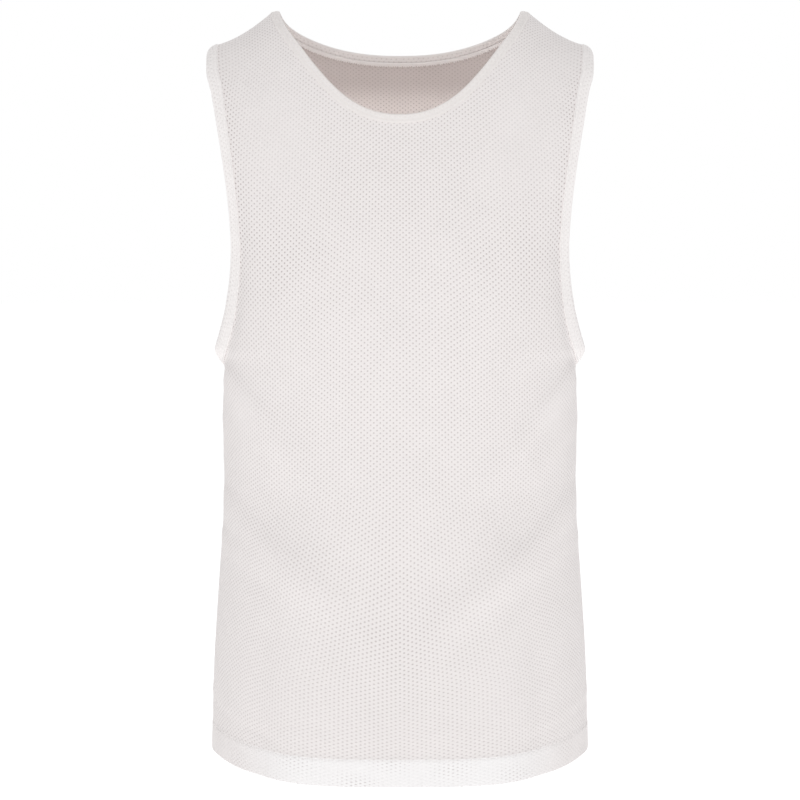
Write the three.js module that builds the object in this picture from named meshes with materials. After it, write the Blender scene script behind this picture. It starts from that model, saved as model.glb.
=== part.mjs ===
// Mesh training bib: a sleeveless vest of white pin-hole mesh, filled out as it is when worn.
// Two panels meet at shoulder and side seams. A folded strip of the same cloth binds the neck and each armhole,
// and the lower edge of each panel is turned up inside.
// Millimetres, +Z up, front towards -Y, the wearer's left towards +X. The origin is midway between the neck ends of
// the two shoulder seams.
import * as THREE from 'three';

// Cloth and seams
const clothWall = 1.0;
const bindingWall = 2.4;
const seamGap = 0.3;
const neckBindingWidth = 7.5;
const armholeBindingWidth = 11;
const hemDepth = 25;

// Main places, as heights below the neck ends of the shoulder seams and half widths from the centre line
const neckHalfWidth = 109;
const frontNeckDrop = 96;
const backNeckDrop = 35.7;
const seamEndHalfWidth = 166;
const shoulderTipHalfWidth = 175.6;
const shoulderTopHalfWidth = 205;
const underarmHeight = -308;
const hemSideHeight = -680.5;
const hemFrontDip = 10;
const hemBackDip = 6;
const hemDipStart = 0.25;
const hemDipEnd = 1;

// The body that fills the cloth: its half width, its depths and the squareness of its girth at each height.
// A squareness of 2 is an ellipse, and more is a rounded rectangle.
const shoulderSquareness = 2.4;
const bodyLevels = [
  { height: 40, halfWidth: 206, front: 119, back: 113, squareness: shoulderSquareness },
  { height: 0, halfWidth: shoulderTopHalfWidth, front: 119, back: 113, squareness: shoulderSquareness },
  { height: -28, halfWidth: 202.6, front: 119, back: 113, squareness: shoulderSquareness },
  { height: -52, halfWidth: 196.2, front: 119, back: 113, squareness: shoulderSquareness },
  { height: -88, halfWidth: 187.6, front: 119, back: 113, squareness: shoulderSquareness },
  { height: -120, halfWidth: 179.9, front: 119, back: 113, squareness: shoulderSquareness },
  { height: -151, halfWidth: 173.3, front: 119, back: 113, squareness: shoulderSquareness },
  { height: -184, halfWidth: 167.6, front: 119, back: 113, squareness: shoulderSquareness },
  { height: -216, halfWidth: 163.8, front: 119, back: 113, squareness: 2.4 },
  { height: -270, halfWidth: 162.4, front: 119, back: 112, squareness: 2.4 },
  { height: -330, halfWidth: 162, front: 118, back: 109, squareness: 2.35 },
  { height: -395, halfWidth: 162.1, front: 116, back: 105, squareness: 2.25 },
  { height: -455, halfWidth: 162.1, front: 116, back: 105, squareness: 2.15 },
  { height: -513, halfWidth: 166.2, front: 118, back: 108, squareness: 2.1 },
  { height: -588, halfWidth: 171.2, front: 122, back: 113, squareness: 2.05 },
  { height: -662, halfWidth: 173.9, front: 125, back: 118, squareness: 2 },
  { height: -740, halfWidth: 175.3, front: 127, back: 121, squareness: 2 },
];

// The shoulder ridge seen from the front: where its slope starts, its fall and bow from there to the end of the seam,
// the flat top inside the neck binding, and its round end over the arm
const ridgeStartHalfWidth = 119.5;
const ridgeStartHeight = -3;
const ridgeFall = 41;
const ridgeBow = 13.8;
const ridgeTopHalfWidth = 113;
const ridgeTopShare = 0.82;
const ridgeEndDrop = 7.5;
const ridgeEndStart = 163;
const ridgeEndPower = 4.5;

// The lip that the stiff armhole binding makes where it passes under the arm
const lipRise = 7.1;
const lipHeight = -304.5;
const lipReachUp = 41;
const lipReachDown = 9.5;
const lipReachRound = 0.33;

// Broad soft folds, each a line on one half as seen from the front and mirrored to the other half.
// rise is its height above the body, below zero for a trough, and spread is its half width.
const frontFolds = [
  { fromSide: 86, fromHeight: -500, toSide: 90, toHeight: -700, spread: 30, rise: 5 },
  { fromSide: 0, fromHeight: -520, toSide: 0, toHeight: -700, spread: 38, rise: -3.5 },
  { fromSide: 150, fromHeight: -452, toSide: 84, toHeight: -512, spread: 17, rise: 3.5 },
  { fromSide: 158, fromHeight: -335, toSide: 112, toHeight: -385, spread: 14, rise: 2.8 },
  { fromSide: 0, fromHeight: -120, toSide: 0, toHeight: -240, spread: 30, rise: -3 },
];
const backFolds = [
  { fromSide: 70, fromHeight: -430, toSide: 82, toHeight: -700, spread: 32, rise: 5 },
  { fromSide: 0, fromHeight: -400, toSide: 0, toHeight: -700, spread: 36, rise: -4 },
  { fromSide: 150, fromHeight: -350, toSide: 96, toHeight: -415, spread: 16, rise: 3 },
  { fromSide: 0, fromHeight: -90, toSide: 0, toHeight: -250, spread: 34, rise: -3 },
];
const foldEndFade = 45;
const foldSideFade = 0.16;

// The two panels. springHeight is where the upright wall starts to arch over to the shoulder ridge, and archLength
// is the length of that arch. Inside the neck the ridge levels out at crownHalfWidth. Each power says how square a
// curve is: 2 is an ellipse.
const frontPanel = {
  name: 'front_panel',
  facing: -1,
  depthColumn: 'front',
  springHeight: -270,
  archLength: 320,
  archPower: 1.95,
  crownHalfWidth: 60,
  neckDrop: frontNeckDrop,
  neckPower: 2.42,
  armholePower: 2.6,
  hemDip: hemFrontDip,
  folds: frontFolds,
};
const backPanel = {
  name: 'back_panel',
  facing: 1,
  depthColumn: 'back',
  springHeight: -220,
  archLength: 270,
  archPower: 1.7,
  crownHalfWidth: 95,
  neckDrop: backNeckDrop,
  neckPower: 2.55,
  armholePower: 2.6,
  hemDip: hemBackDip,
  folds: backFolds,
};

// Numbers of cells
const columnsPerHalf = 13;
const sideSeamRows = 12;
const armholeStations = 20;
const neckStations = 10;
const hemFoldSteps = 4;
const rowCount = sideSeamRows + armholeStations;
const centreRows = rowCount - neckStations;

const quarterTurn = Math.PI / 2;
const acrossStep = 1e-3;
const riseStep = 0.2;
const turnStep = 1e-3;

// Finish of the cloth
const meshCloth = { color: 0xefecea, roughness: 0.85, metalness: 0 };
const bindingCloth = { color: 0xf4f2f1, roughness: 0.8, metalness: 0 };

function mix(from, to, share) {
  return from + (to - from) * share;
}

// A point on a rounded unit quarter: out falls from 1 to 0 and up grows from 0 to 1 as the angle makes a quarter turn.
function roundedQuarter(angle, power) {
  const out = Math.cos(angle);
  const up = Math.sin(angle);
  const reach = (Math.abs(out) ** power + Math.abs(up) ** power) ** (1 / power);
  return { out: out / reach, up: up / reach };
}

// The inverse: the share of a quarter turn at which the rounded quarter has this up value.
function turnShare(up, power) {
  const out = (1 - up ** power) ** (1 / power);
  return Math.atan2(up, out) / quarterTurn;
}

// Slope of a column of the body levels at one row, from its neighbours.
function levelSlope(row, column) {
  const above = bodyLevels[Math.max(row - 1, 0)];
  const below = bodyLevels[Math.min(row + 1, bodyLevels.length - 1)];
  return (below[column] - above[column]) / (below.height - above.height);
}

// A smooth curve through one column of the body levels.
function bodySize(height, column) {
  const last = bodyLevels.length - 2;
  const found = bodyLevels.findIndex((level, row) => row > last || height >= bodyLevels[row + 1].height);
  const row = Math.min(found, last);
  const upper = bodyLevels[row];
  const lower = bodyLevels[row + 1];
  const span = lower.height - upper.height;
  const share = THREE.MathUtils.clamp((height - upper.height) / span, 0, 1);
  const ease = share * share * (3 - 2 * share);
  const leave = levelSlope(row, column) * span * share * (1 - share) ** 2;
  const arrive = levelSlope(row + 1, column) * span * share ** 2 * (share - 1);
  return mix(upper[column], lower[column], ease) + leave + arrive;
}

// Height of the shoulder ridge above a distance from the centre line, as it shapes a panel at a share of the arch.
// Inside its start the slope levels out: within the binding at the ridge itself, and over the whole chest lower down.
function ridgeHeight(panel, side, archShare) {
  const seamSpan = seamEndHalfWidth - ridgeStartHalfWidth;
  const share = (side - ridgeStartHalfWidth) / seamSpan;
  if (share < 0) {
    const nearRidge = THREE.MathUtils.smoothstep(archShare, ridgeTopShare, 1);
    const levelHalfWidth = mix(panel.crownHalfWidth, ridgeTopHalfWidth, nearRidge);
    const levelSpan = ridgeStartHalfWidth - levelHalfWidth;
    const beyondLevel = Math.max(side - levelHalfWidth, 0) / levelSpan;
    const crown = ridgeFall / seamSpan * levelSpan / 2;
    return ridgeStartHeight + crown * (1 - beyondLevel ** 2);
  }
  const pastStart = Math.max(side - ridgeEndStart, 0) / (shoulderTipHalfWidth - ridgeEndStart);
  return ridgeStartHeight + ridgeBow * share ** 2 - ridgeFall * share - ridgeEndDrop * pastStart ** ridgeEndPower;
}

// A point of the plain body. across runs from 0 at the centre line to 1 at the side seam. rise is in millimetres
// above the panel's spring line: below it the wall is upright, and above it arches over to the ridge.
function bodyPoint(panel, across, rise) {
  const archAngle = Math.max(rise, 0) / panel.archLength * quarterTurn;
  const arch = roundedQuarter(archAngle, panel.archPower);
  const level = panel.springHeight * (1 - arch.up) + Math.min(rise, 0);
  const girth = roundedQuarter(across * quarterTurn, bodySize(level, 'squareness'));
  const x = bodySize(level, 'halfWidth') * girth.up;
  const depth = bodySize(Math.min(level, panel.springHeight), panel.depthColumn);
  const y = panel.facing * depth * girth.out * arch.out;
  const z = rise > 0 ? mix(panel.springHeight, ridgeHeight(panel, Math.abs(x), arch.up), arch.up) : level;
  return new THREE.Vector3(x, y, z);
}

// The outward normal of a surface function, from small steps across and up.
function surfaceNormal(surface, panel, across, rise) {
  const stepAcross = surface(panel, across + acrossStep, rise).sub(surface(panel, across - acrossStep, rise));
  const stepUp = surface(panel, across, rise + riseStep).sub(surface(panel, across, rise - riseStep));
  return stepAcross.cross(stepUp).multiplyScalar(-panel.facing).normalize();
}

// How far one fold lifts the cloth at a point seen from the front: a bell across its line that fades at both ends.
function foldLift(fold, side, height) {
  const lineSide = fold.toSide - fold.fromSide;
  const lineHeight = fold.toHeight - fold.fromHeight;
  const length = Math.hypot(lineSide, lineHeight);
  const fromSide = side - fold.fromSide;
  const fromHeight = height - fold.fromHeight;
  const along = (fromSide * lineSide + fromHeight * lineHeight) / length;
  const off = (fromSide * lineHeight - fromHeight * lineSide) / length;
  const beyond = Math.max(-along, along - length, 0);
  return fold.rise * Math.exp(-((off / fold.spread) ** 2) - (beyond / foldEndFade) ** 2);
}

// How far the cloth stands off the plain body: the folds, which fade before the side seam and the ridge, and the lip.
function clothLift(panel, across, rise, point) {
  const side = Math.abs(point.x);
  const seamFade = 1 - Math.exp(-(((1 - Math.abs(across)) / foldSideFade) ** 2));
  const folds = panel.folds.reduce((sum, fold) => sum + foldLift(fold, side, point.z), 0);
  const fromLip = (point.z - lipHeight) / (point.z > lipHeight ? lipReachUp : lipReachDown);
  const fromSideSeam = (1 - Math.abs(across)) / lipReachRound;
  return folds * seamFade + lipRise * Math.exp(-(fromLip ** 2) - fromSideSeam ** 2);
}

// A point of the cloth's middle surface.
function clothPoint(panel, across, rise) {
  const point = bodyPoint(panel, across, rise);
  const normal = surfaceNormal(bodyPoint, panel, across, rise);
  return point.addScaledVector(normal, clothLift(panel, across, rise, point));
}

// The same point moved out by a distance, or in where it is below zero.
function clothLayer(panel, across, rise, out) {
  const normal = surfaceNormal(clothPoint, panel, across, rise);
  return clothPoint(panel, across, rise).addScaledVector(normal, out);
}

// Places on the edges of a panel, each as {across, rise}
const neckAcross = turnShare(neckHalfWidth / shoulderTopHalfWidth, shoulderSquareness);
const tipAcross = turnShare(shoulderTipHalfWidth / shoulderTopHalfWidth, shoulderSquareness);

function neckCentreRise(panel) {
  const up = (-panel.neckDrop - panel.springHeight) / (ridgeHeight(panel, 0, 0) - panel.springHeight);
  return turnShare(up, panel.archPower) * panel.archLength;
}

// The finished neck edge: turn goes from 0 at the centre line to 1 at the shoulder ridge.
function neckEdge(panel, turn) {
  const curve = roundedQuarter(turn * quarterTurn, panel.neckPower);
  return {
    across: neckAcross * curve.up,
    rise: mix(panel.archLength, neckCentreRise(panel), curve.out),
  };
}

// The finished armhole edge: turn goes from 0 under the arm to 1 at the shoulder ridge.
function armholeEdge(panel, turn) {
  const curve = roundedQuarter(turn * quarterTurn, panel.armholePower);
  return {
    across: mix(1, tipAcross, curve.up),
    rise: mix(panel.archLength, underarmHeight - panel.springHeight, curve.out),
  };
}

// The hem is level at each side, and lower by its dip across the middle.
function hemRise(panel, across) {
  const forward = roundedQuarter(across * quarterTurn, bodySize(hemSideHeight, 'squareness')).out;
  const dip = panel.hemDip * THREE.MathUtils.smoothstep(forward, hemDipStart, hemDipEnd);
  return hemSideHeight - dip - panel.springHeight;
}

// The step in {across, rise} that goes one millimetre from a finished edge into the cloth, square to the edge.
// into is 1 for the neck and -1 for the armhole, whose cloth lies on the other side of the edge.
function inwardStep(panel, edge, turn, into) {
  const place = edge(panel, turn);
  const ahead = edge(panel, turn + turnStep);
  const behind = edge(panel, turn - turnStep);
  const tangent = clothPoint(panel, ahead.across, ahead.rise).sub(clothPoint(panel, behind.across, behind.rise));
  const normal = surfaceNormal(clothPoint, panel, place.across, place.rise);
  const inward = normal.cross(tangent).multiplyScalar(panel.facing * into).normalize();
  const byAcross = clothPoint(panel, place.across + acrossStep, place.rise)
    .sub(clothPoint(panel, place.across - acrossStep, place.rise)).divideScalar(2 * acrossStep);
  const byRise = clothPoint(panel, place.across, place.rise + riseStep)
    .sub(clothPoint(panel, place.across, place.rise - riseStep)).divideScalar(2 * riseStep);
  const shared = byAcross.dot(byRise);
  const spread = byAcross.lengthSq() * byRise.lengthSq() - shared ** 2;
  return {
    across: (inward.dot(byAcross) * byRise.lengthSq() - inward.dot(byRise) * shared) / spread,
    rise: (inward.dot(byRise) * byAcross.lengthSq() - inward.dot(byAcross) * shared) / spread,
  };
}

// A place a distance into the cloth from a finished edge, kept within the seams.
function placeInside(panel, edge, turn, into, distance) {
  const place = edge(panel, turn);
  const step = inwardStep(panel, edge, turn, into);
  return {
    across: THREE.MathUtils.clamp(place.across + step.across * distance, 0, 1),
    rise: Math.min(place.rise + step.rise * distance, panel.archLength),
  };
}

// The left column of a half panel: up the centre line and then along the neck seam.
function innerPlace(panel, row) {
  if (row > centreRows) {
    return placeInside(panel, neckEdge, (row - centreRows) / neckStations, 1, neckBindingWidth + seamGap);
  }
  const top = placeInside(panel, neckEdge, 0, 1, neckBindingWidth + seamGap);
  return { across: 0, rise: rowRise(hemRise(panel, 0), top.rise, row, centreRows) };
}

// The right column of a half panel: up the side seam and then along the armhole seam.
function outerPlace(panel, row) {
  const seam = armholeBindingWidth + seamGap;
  if (row > sideSeamRows) {
    return placeInside(panel, armholeEdge, (row - sideSeamRows) / armholeStations, -1, seam);
  }
  const top = placeInside(panel, armholeEdge, 0, -1, seam);
  return { across: 1, rise: rowRise(hemRise(panel, 1), top.rise, row, sideSeamRows) };
}

// Rows up a straight edge: the first is the hem, the second the top of the turned-up cloth, and the rest are even.
function rowRise(hem, top, row, rows) {
  if (row === 0) {
    return hem;
  }
  return mix(hem + hemDepth, top, (row - 1) / (rows - 1));
}

// One place of a half panel's net: straight rows between the two columns, which follow the hem's dip low down.
function panelPlace(panel, column, row) {
  const share = column / columnsPerHalf;
  const inner = innerPlace(panel, row);
  const outer = outerPlace(panel, row);
  const evenHem = mix(hemRise(panel, 0), hemRise(panel, 1), share);
  const hemShape = (hemRise(panel, share) - evenHem) * Math.max(1 - Math.max(row - 1, 0) / sideSeamRows, 0);
  return { across: mix(inner.across, outer.across, share), rise: mix(inner.rise, outer.rise, share) + hemShape };
}

// Mirrors a point to the left half where side is -1.
function onSide(point, side) {
  point.x *= side;
  return point;
}

// A closed solid from its points and triangles, with its faces turned outwards.
function closedSolid(points, triangles) {
  const volume = triangles.reduce(
    (sum, [a, b, c]) => sum + points[a].dot(new THREE.Vector3().crossVectors(points[b], points[c])),
    0,
  );
  const facingOut = volume > 0 ? triangles : triangles.map(([a, b, c]) => [a, c, b]);
  const geometry = new THREE.BufferGeometry().setFromPoints(points);
  geometry.setIndex(facingOut.flat());
  geometry.computeVertexNormals();
  return geometry;
}

// A sheet of cloth: points with an outer and an inner face, joined by four-sided cells. A rim closes every edge
// that only one cell uses.
class ClothSheet {
  outer = [];

  inner = [];

  cells = [];

  addPoint(outer, inner) {
    this.outer.push(outer);
    this.inner.push(inner);
    return this.outer.length - 1;
  }

  geometry() {
    const count = this.outer.length;
    const used = new Set(this.cells.flatMap((cell) => cell.map((from, i) => `${from} ${cell[(i + 1) % 4]}`)));
    const triangles = [];
    for (const cell of this.cells) {
      const [a, b, c, d] = cell;
      triangles.push([a, b, c], [a, c, d]);
      triangles.push([a + count, c + count, b + count], [a + count, d + count, c + count]);
      cell.forEach((from, i) => {
        const to = cell[(i + 1) % 4];
        if (!used.has(`${to} ${from}`)) {
          triangles.push([to, from, from + count], [to, from + count, to + count]);
        }
      });
    }
    return closedSolid([...this.outer, ...this.inner], triangles);
  }
}

// One point of a panel's wall, moved off the shared seam planes by half the seam gap.
function panelPoint(panel, side, across, rise, out) {
  const point = onSide(clothLayer(panel, across, rise, out), side);
  point.y += panel.facing * seamGap / 2;
  return point;
}

// The rows of the turned-up hem, from the fold round to the loose edge inside. lift is the height above the lowest
// line of the fold, and out is the distance from the panel's middle surface.
function hemFoldRows() {
  const middle = -(clothWall + seamGap) / 2;
  const outerRadius = clothWall / 2 - middle;
  const innerRadius = seamGap / 2;
  const rows = [];
  for (let step = 0; step <= hemFoldSteps; step += 1) {
    const angle = Math.PI * step / hemFoldSteps;
    const down = Math.sin(angle);
    const out = Math.cos(angle);
    rows.push({
      outerLift: outerRadius * (1 - down),
      outerOut: middle + outerRadius * out,
      innerLift: outerRadius - innerRadius * down,
      innerOut: middle + innerRadius * out,
    });
  }
  const loose = rows[hemFoldSteps];
  rows.push({ ...loose, outerLift: hemDepth, innerLift: hemDepth });
  return rows;
}

// The rows of a half panel from the loose edge of the turned-up hem, round its fold and up to the shoulder seam, each
// with its row in the net of places.
function panelRows() {
  const hemRows = hemFoldRows().reverse().map((row) => ({ ...row, netRow: 0 }));
  const plain = { outerLift: 0, outerOut: clothWall / 2, innerLift: 0, innerOut: -clothWall / 2 };
  const upperRows = Array.from({ length: rowCount }, (unused, i) => ({ ...plain, netRow: i + 1 }));
  return [...hemRows, ...upperRows];
}

// Adds one point of a panel to its sheet, on both faces of the wall.
function addPanelPoint(sheet, panel, side, row, column) {
  const { across, rise } = panelPlace(panel, column, row.netRow);
  return sheet.addPoint(
    panelPoint(panel, side, across, rise + row.outerLift, row.outerOut),
    panelPoint(panel, side, across, rise + row.innerLift, row.innerOut),
  );
}

// Adds the points of one half panel, and returns their numbers row by row. The halves share centreLine.
function addHalfPanel(sheet, panel, side, centreLine) {
  return panelRows().map((row, rowIndex) => {
    const line = [];
    for (let column = 0; column <= columnsPerHalf; column += 1) {
      const onCentre = column === 0 && row.netRow <= centreRows;
      const shared = onCentre ? centreLine[rowIndex] : undefined;
      line.push(shared ?? addPanelPoint(sheet, panel, side, row, column));
      if (onCentre) {
        centreLine[rowIndex] = line[0];
      }
    }
    return line;
  });
}

// A whole panel: the turned-up hem and the net of each half.
function panelGeometry(panel) {
  const sheet = new ClothSheet();
  const centreLine = [];
  for (const side of [1, -1]) {
    const net = addHalfPanel(sheet, panel, side, centreLine);
    for (let row = 0; row + 1 < net.length; row += 1) {
      for (let column = 0; column < columnsPerHalf; column += 1) {
        const cell = [net[row][column], net[row][column + 1], net[row + 1][column + 1], net[row + 1][column]];
        sheet.cells.push(side === 1 ? cell : cell.reverse());
      }
    }
  }
  return sheet.geometry();
}

// The section of a folded binding strip: distance into the cloth from the finished edge, and distance out.
function bindingSection(width) {
  const half = bindingWall / 2;
  const bend = half * Math.SQRT1_2;
  return [
    { inward: width, out: half },
    { inward: width / 2, out: half },
    { inward: half, out: half },
    { inward: half - bend, out: bend },
    { inward: 0, out: 0 },
    { inward: half - bend, out: -bend },
    { inward: half, out: -half },
    { inward: width / 2, out: -half },
    { inward: width, out: -half },
  ];
}

// The section of a binding at one station of an edge, as points in space.
function bindingStation(panel, edge, turn, into, width, side) {
  const place = edge(panel, turn);
  const step = inwardStep(panel, edge, turn, into);
  return bindingSection(width).map(({ inward, out }) => {
    const across = place.across + step.across * inward;
    const rise = place.rise + step.rise * inward;
    return onSide(clothLayer(panel, across, rise, out), side);
  });
}

// A closed ring through a loop of sections.
function ringGeometry(sections) {
  const size = sections[0].length;
  const triangles = [];
  sections.forEach((section, i) => {
    const here = i * size;
    const next = ((i + 1) % sections.length) * size;
    section.forEach((point, j) => {
      const after = (j + 1) % size;
      triangles.push([here + j, next + j, next + after], [here + j, next + after, here + after]);
    });
  });
  return closedSolid(sections.flat(), triangles);
}

// Turns from 0 to 1 along one quarter of a binding, without the last, which the next quarter starts with.
function quarterTurns(stations) {
  return Array.from({ length: stations }, (unused, i) => i / stations);
}

function neckBindingGeometry() {
  const up = quarterTurns(neckStations);
  const down = up.map((turn) => 1 - turn);
  const quarters = [
    { panel: frontPanel, side: 1, turns: up },
    { panel: backPanel, side: 1, turns: down },
    { panel: backPanel, side: -1, turns: up },
    { panel: frontPanel, side: -1, turns: down },
  ];
  return ringGeometry(quarters.flatMap(({ panel, side, turns }) => (
    turns.map((turn) => bindingStation(panel, neckEdge, turn, 1, neckBindingWidth, side))
  )));
}

function armholeBindingGeometry(side) {
  const up = quarterTurns(armholeStations);
  const down = up.map((turn) => 1 - turn);
  const halves = [
    { panel: frontPanel, turns: up },
    { panel: backPanel, turns: down },
  ];
  return ringGeometry(halves.flatMap(({ panel, turns }) => (
    turns.map((turn) => bindingStation(panel, armholeEdge, turn, -1, armholeBindingWidth, side))
  )));
}

function clothPiece(name, geometry, finish) {
  const mesh = new THREE.Mesh(geometry, new THREE.MeshStandardMaterial({ ...finish, side: THREE.DoubleSide }));
  mesh.name = name;
  return mesh;
}

const bib = new THREE.Group();
bib.name = 'mesh_training_bib';
bib.add(clothPiece(frontPanel.name, panelGeometry(frontPanel), meshCloth));
bib.add(clothPiece(backPanel.name, panelGeometry(backPanel), meshCloth));
bib.add(clothPiece('neck_binding', neckBindingGeometry(), bindingCloth));
bib.add(clothPiece('armhole_binding_left', armholeBindingGeometry(1), bindingCloth));
bib.add(clothPiece('armhole_binding_right', armholeBindingGeometry(-1), bindingCloth));

export default bib;
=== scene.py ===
"""Mesh training bib, dressed: knitted mesh panels, folded bindings, a turned-up hem and its sewing.

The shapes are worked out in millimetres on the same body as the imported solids, and put into meshes in metres.
+Z is up, the front faces -Y and +X is the wearer's left. The two halves are mirror images.
"""
import math
from dataclasses import dataclass

import bpy
import numpy as np
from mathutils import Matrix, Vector


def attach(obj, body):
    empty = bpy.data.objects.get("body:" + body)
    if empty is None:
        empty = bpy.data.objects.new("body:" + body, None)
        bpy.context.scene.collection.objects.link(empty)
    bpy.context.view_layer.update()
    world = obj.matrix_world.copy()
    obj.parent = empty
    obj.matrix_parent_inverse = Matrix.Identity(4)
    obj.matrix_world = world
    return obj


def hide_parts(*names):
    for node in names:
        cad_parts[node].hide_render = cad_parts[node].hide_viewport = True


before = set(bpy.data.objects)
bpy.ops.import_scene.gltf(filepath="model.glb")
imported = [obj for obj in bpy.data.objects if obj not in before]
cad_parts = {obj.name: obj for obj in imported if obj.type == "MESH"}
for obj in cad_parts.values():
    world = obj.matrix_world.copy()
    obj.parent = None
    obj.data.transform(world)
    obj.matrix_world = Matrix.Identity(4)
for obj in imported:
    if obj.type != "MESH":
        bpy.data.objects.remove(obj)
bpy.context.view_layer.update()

METRES = 0.001

# The photograph's view: a long lens, a little below the shoulders, tipped down to the hem
CAMERA_PLACE = (0.0, -2.4, -0.2)
CAMERA_TIP_DOWN = math.radians(3.7)
CAMERA_LENS = 117.4

# The studio: each soft light's name, place and width in metres, and power in watts
SOFTBOXES = (
    ("front_light", (0.0, -3.2, 0.4), 2.4, 6.5),
    ("top_front_light", (0.0, -1.9, 2.3), 2.2, 20.0),
    ("top_back_light", (0.0, 2.1, 2.1), 2.2, 22.0),
    ("left_light", (-2.6, -1.2, 0.2), 2.0, 1.3),
    ("right_light", (2.6, -1.2, 0.2), 2.0, 1.3),
)
WORLD_LIGHT = 0.48
LIGHTS_AIM = (0.0, 0.0, -0.34)
FLOOR_SIZE = 60.0
FLOOR_HEIGHT = -1.1
FLOOR_GLOW = 0.62

# Colours, as sRGB
MESH_WHITE = "#f1eceb"
# Painted shade: each hole colour stands for the shade seen through the holes
MESH_HOLE_SHADE = "#b1a6a4"
# Painted light: the inside face of the same cloth, painted lighter than the outside
INSIDE_PAINTED_LIGHT_WHITE = "#fdf5f2"
# Painted shade: the inside just below the neck
INSIDE_PAINTED_SHADE = "#d9cfcc"
# Painted shade seen through the holes from the inside
INSIDE_HOLE_SHADE = "#a99b97"
HEM_WHITE = "#faf8f8"
NECK_WHITE = "#f2edeb"
ARMHOLE_WHITE = "#f9f5f4"
# Painted shade seen through the bindings' holes
BINDING_HOLE_SHADE = "#b8aba8"
THREAD_WHITE = "#f5f2f1"
# Painted light: the inside thread, painted lighter than the outside thread
INSIDE_THREAD_PAINTED_LIGHT = "#fbf6f4"
FLOOR_WHITE = "#f4f4f4"

# Cloth and seams, in millimetres
CLOTH_WALL = 0.8
STRIP_WALL = 0.7
SEAM_GAP = 0.3
NECK_BINDING_WIDTH = 7.5
ARMHOLE_BINDING_WIDTH = 11.0
NECK_TUCK = 4.0
ARMHOLE_TUCK = 6.0
NECK_SHOWS = 8.8
NECK_INSIDE_SHOWS = 6.8
ARMHOLE_SHOWS = 12.6
ARMHOLE_INSIDE_SHOWS = 10.4
HEM_DEPTH = 25.0
HEM_INNER_GAP = 0.2

# Main places: heights below the neck ends of the shoulder seams and half widths from the centre line
NECK_HALF_WIDTH = 109.0
SEAM_END_HALF_WIDTH = 166.0
SHOULDER_TIP_HALF_WIDTH = 175.6
SHOULDER_TOP_HALF_WIDTH = 205.0
UNDERARM_HEIGHT = -308.0
HEM_SIDE_HEIGHT = -680.5
HEM_DIP_START = 0.25
HEM_DIP_END = 1.0
HEM_CORNER_LIFT = 3.6
HEM_CORNER_START = 0.6

# The body that fills the cloth. A squareness of 2 makes an elliptical girth, and more a rounded rectangle.
HEIGHT, HALF_WIDTH, FRONT_DEPTH, BACK_DEPTH, SQUARENESS = range(5)
SHOULDER_SQUARENESS = 2.4
BODY_LEVELS = np.array([
    (40, 206, 119, 113, 2.4),
    (0, 205, 119, 113, 2.4),
    (-28, 202.6, 119, 113, 2.4),
    (-52, 196.2, 119, 113, 2.4),
    (-88, 187.6, 119, 113, 2.4),
    (-120, 179.9, 119, 113, 2.4),
    (-151, 173.3, 119, 113, 2.4),
    (-184, 167.6, 119, 113, 2.4),
    (-216, 163.8, 119, 113, 2.4),
    (-270, 162.4, 119, 112, 2.4),
    (-330, 162, 118, 109, 2.35),
    (-395, 162.1, 116, 105, 2.25),
    (-455, 162.1, 116, 105, 2.15),
    (-513, 166.2, 118, 108, 2.1),
    (-588, 171.2, 122, 113, 2.05),
    (-662, 173.9, 125, 118, 2),
    (-740, 175.3, 127, 121, 2),
], float)

# The shoulder ridge seen from the front
RIDGE_START_HALF_WIDTH = 119.5
RIDGE_START_HEIGHT = -3.0
RIDGE_FALL = 41.0
RIDGE_BOW = 13.8
RIDGE_TOP_HALF_WIDTH = 113.0
RIDGE_TOP_SHARE = 0.82
RIDGE_END_DROP = 7.5
RIDGE_END_START = 163.0
RIDGE_END_POWER = 4.5

# The lip that the stiff armhole binding makes where it passes under the arm
LIP_RISE = 7.1
LIP_HEIGHT = -304.5
LIP_REACH_UP = 41.0
LIP_REACH_DOWN = 9.5
LIP_REACH_ROUND = 0.33

# Folds: from and to, each as (side, height) on one half seen from the front, then half width and rise.
# The broad ones are the body's own, and the narrow ones are the creases of light cloth.
FRONT_FOLDS = (
    ((86, -500), (90, -700), 30, 5.0),
    ((0, -520), (0, -700), 38, -3.5),
    ((150, -452), (84, -512), 17, 3.5),
    ((158, -335), (112, -385), 14, 2.8),
    ((0, -120), (0, -240), 30, -3.0),
)
BACK_FOLDS = (
    ((70, -430), (82, -700), 32, 5.0),
    ((0, -400), (0, -700), 36, -4.0),
    ((150, -350), (96, -415), 16, 3.0),
    ((0, -90), (0, -250), 34, -3.0),
)
FRONT_CREASES = (
    ((156, -322), (126, -356), 5, 1.1),
    ((157, -346), (131, -374), 6, -0.9),
    ((158, -372), (120, -412), 8, 0.9),
    ((160, -425), (108, -470), 7, -0.9),
    ((163, -478), (122, -500), 6, 0.8),
    ((120, -560), (128, -690), 10, -1.2),
    ((55, -590), (49, -690), 9, 0.9),
    ((24, -610), (21, -690), 8, -0.7),
    ((176, -630), (122, -650), 4, -0.6),
    ((172, -622), (140, -640), 5, 0.5),
    ((146, -75), (132, -150), 9, 1.0),
    ((92, -120), (70, -170), 12, -0.8),
)
BACK_CREASES = (
    ((156, -325), (122, -366), 5, 1.2),
    ((158, -352), (126, -392), 6, -1.0),
    ((158, -405), (104, -452), 8, 1.0),
    ((160, -470), (118, -505), 7, -0.9),
    ((112, -540), (122, -690), 11, -1.3),
    ((46, -560), (42, -690), 10, 1.0),
    ((20, -600), (22, -690), 8, -0.7),
    ((174, -632), (130, -648), 4, -0.6),
    ((140, -80), (128, -165), 10, 1.1),
    ((96, -70), (78, -130), 12, -0.9),
)
FOLD_END_FADE = 45.0
CREASE_END_FADE = 14.0
FOLD_SIDE_FADE = 0.16

CREASE_SEAM_REACH = 6.0

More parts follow.
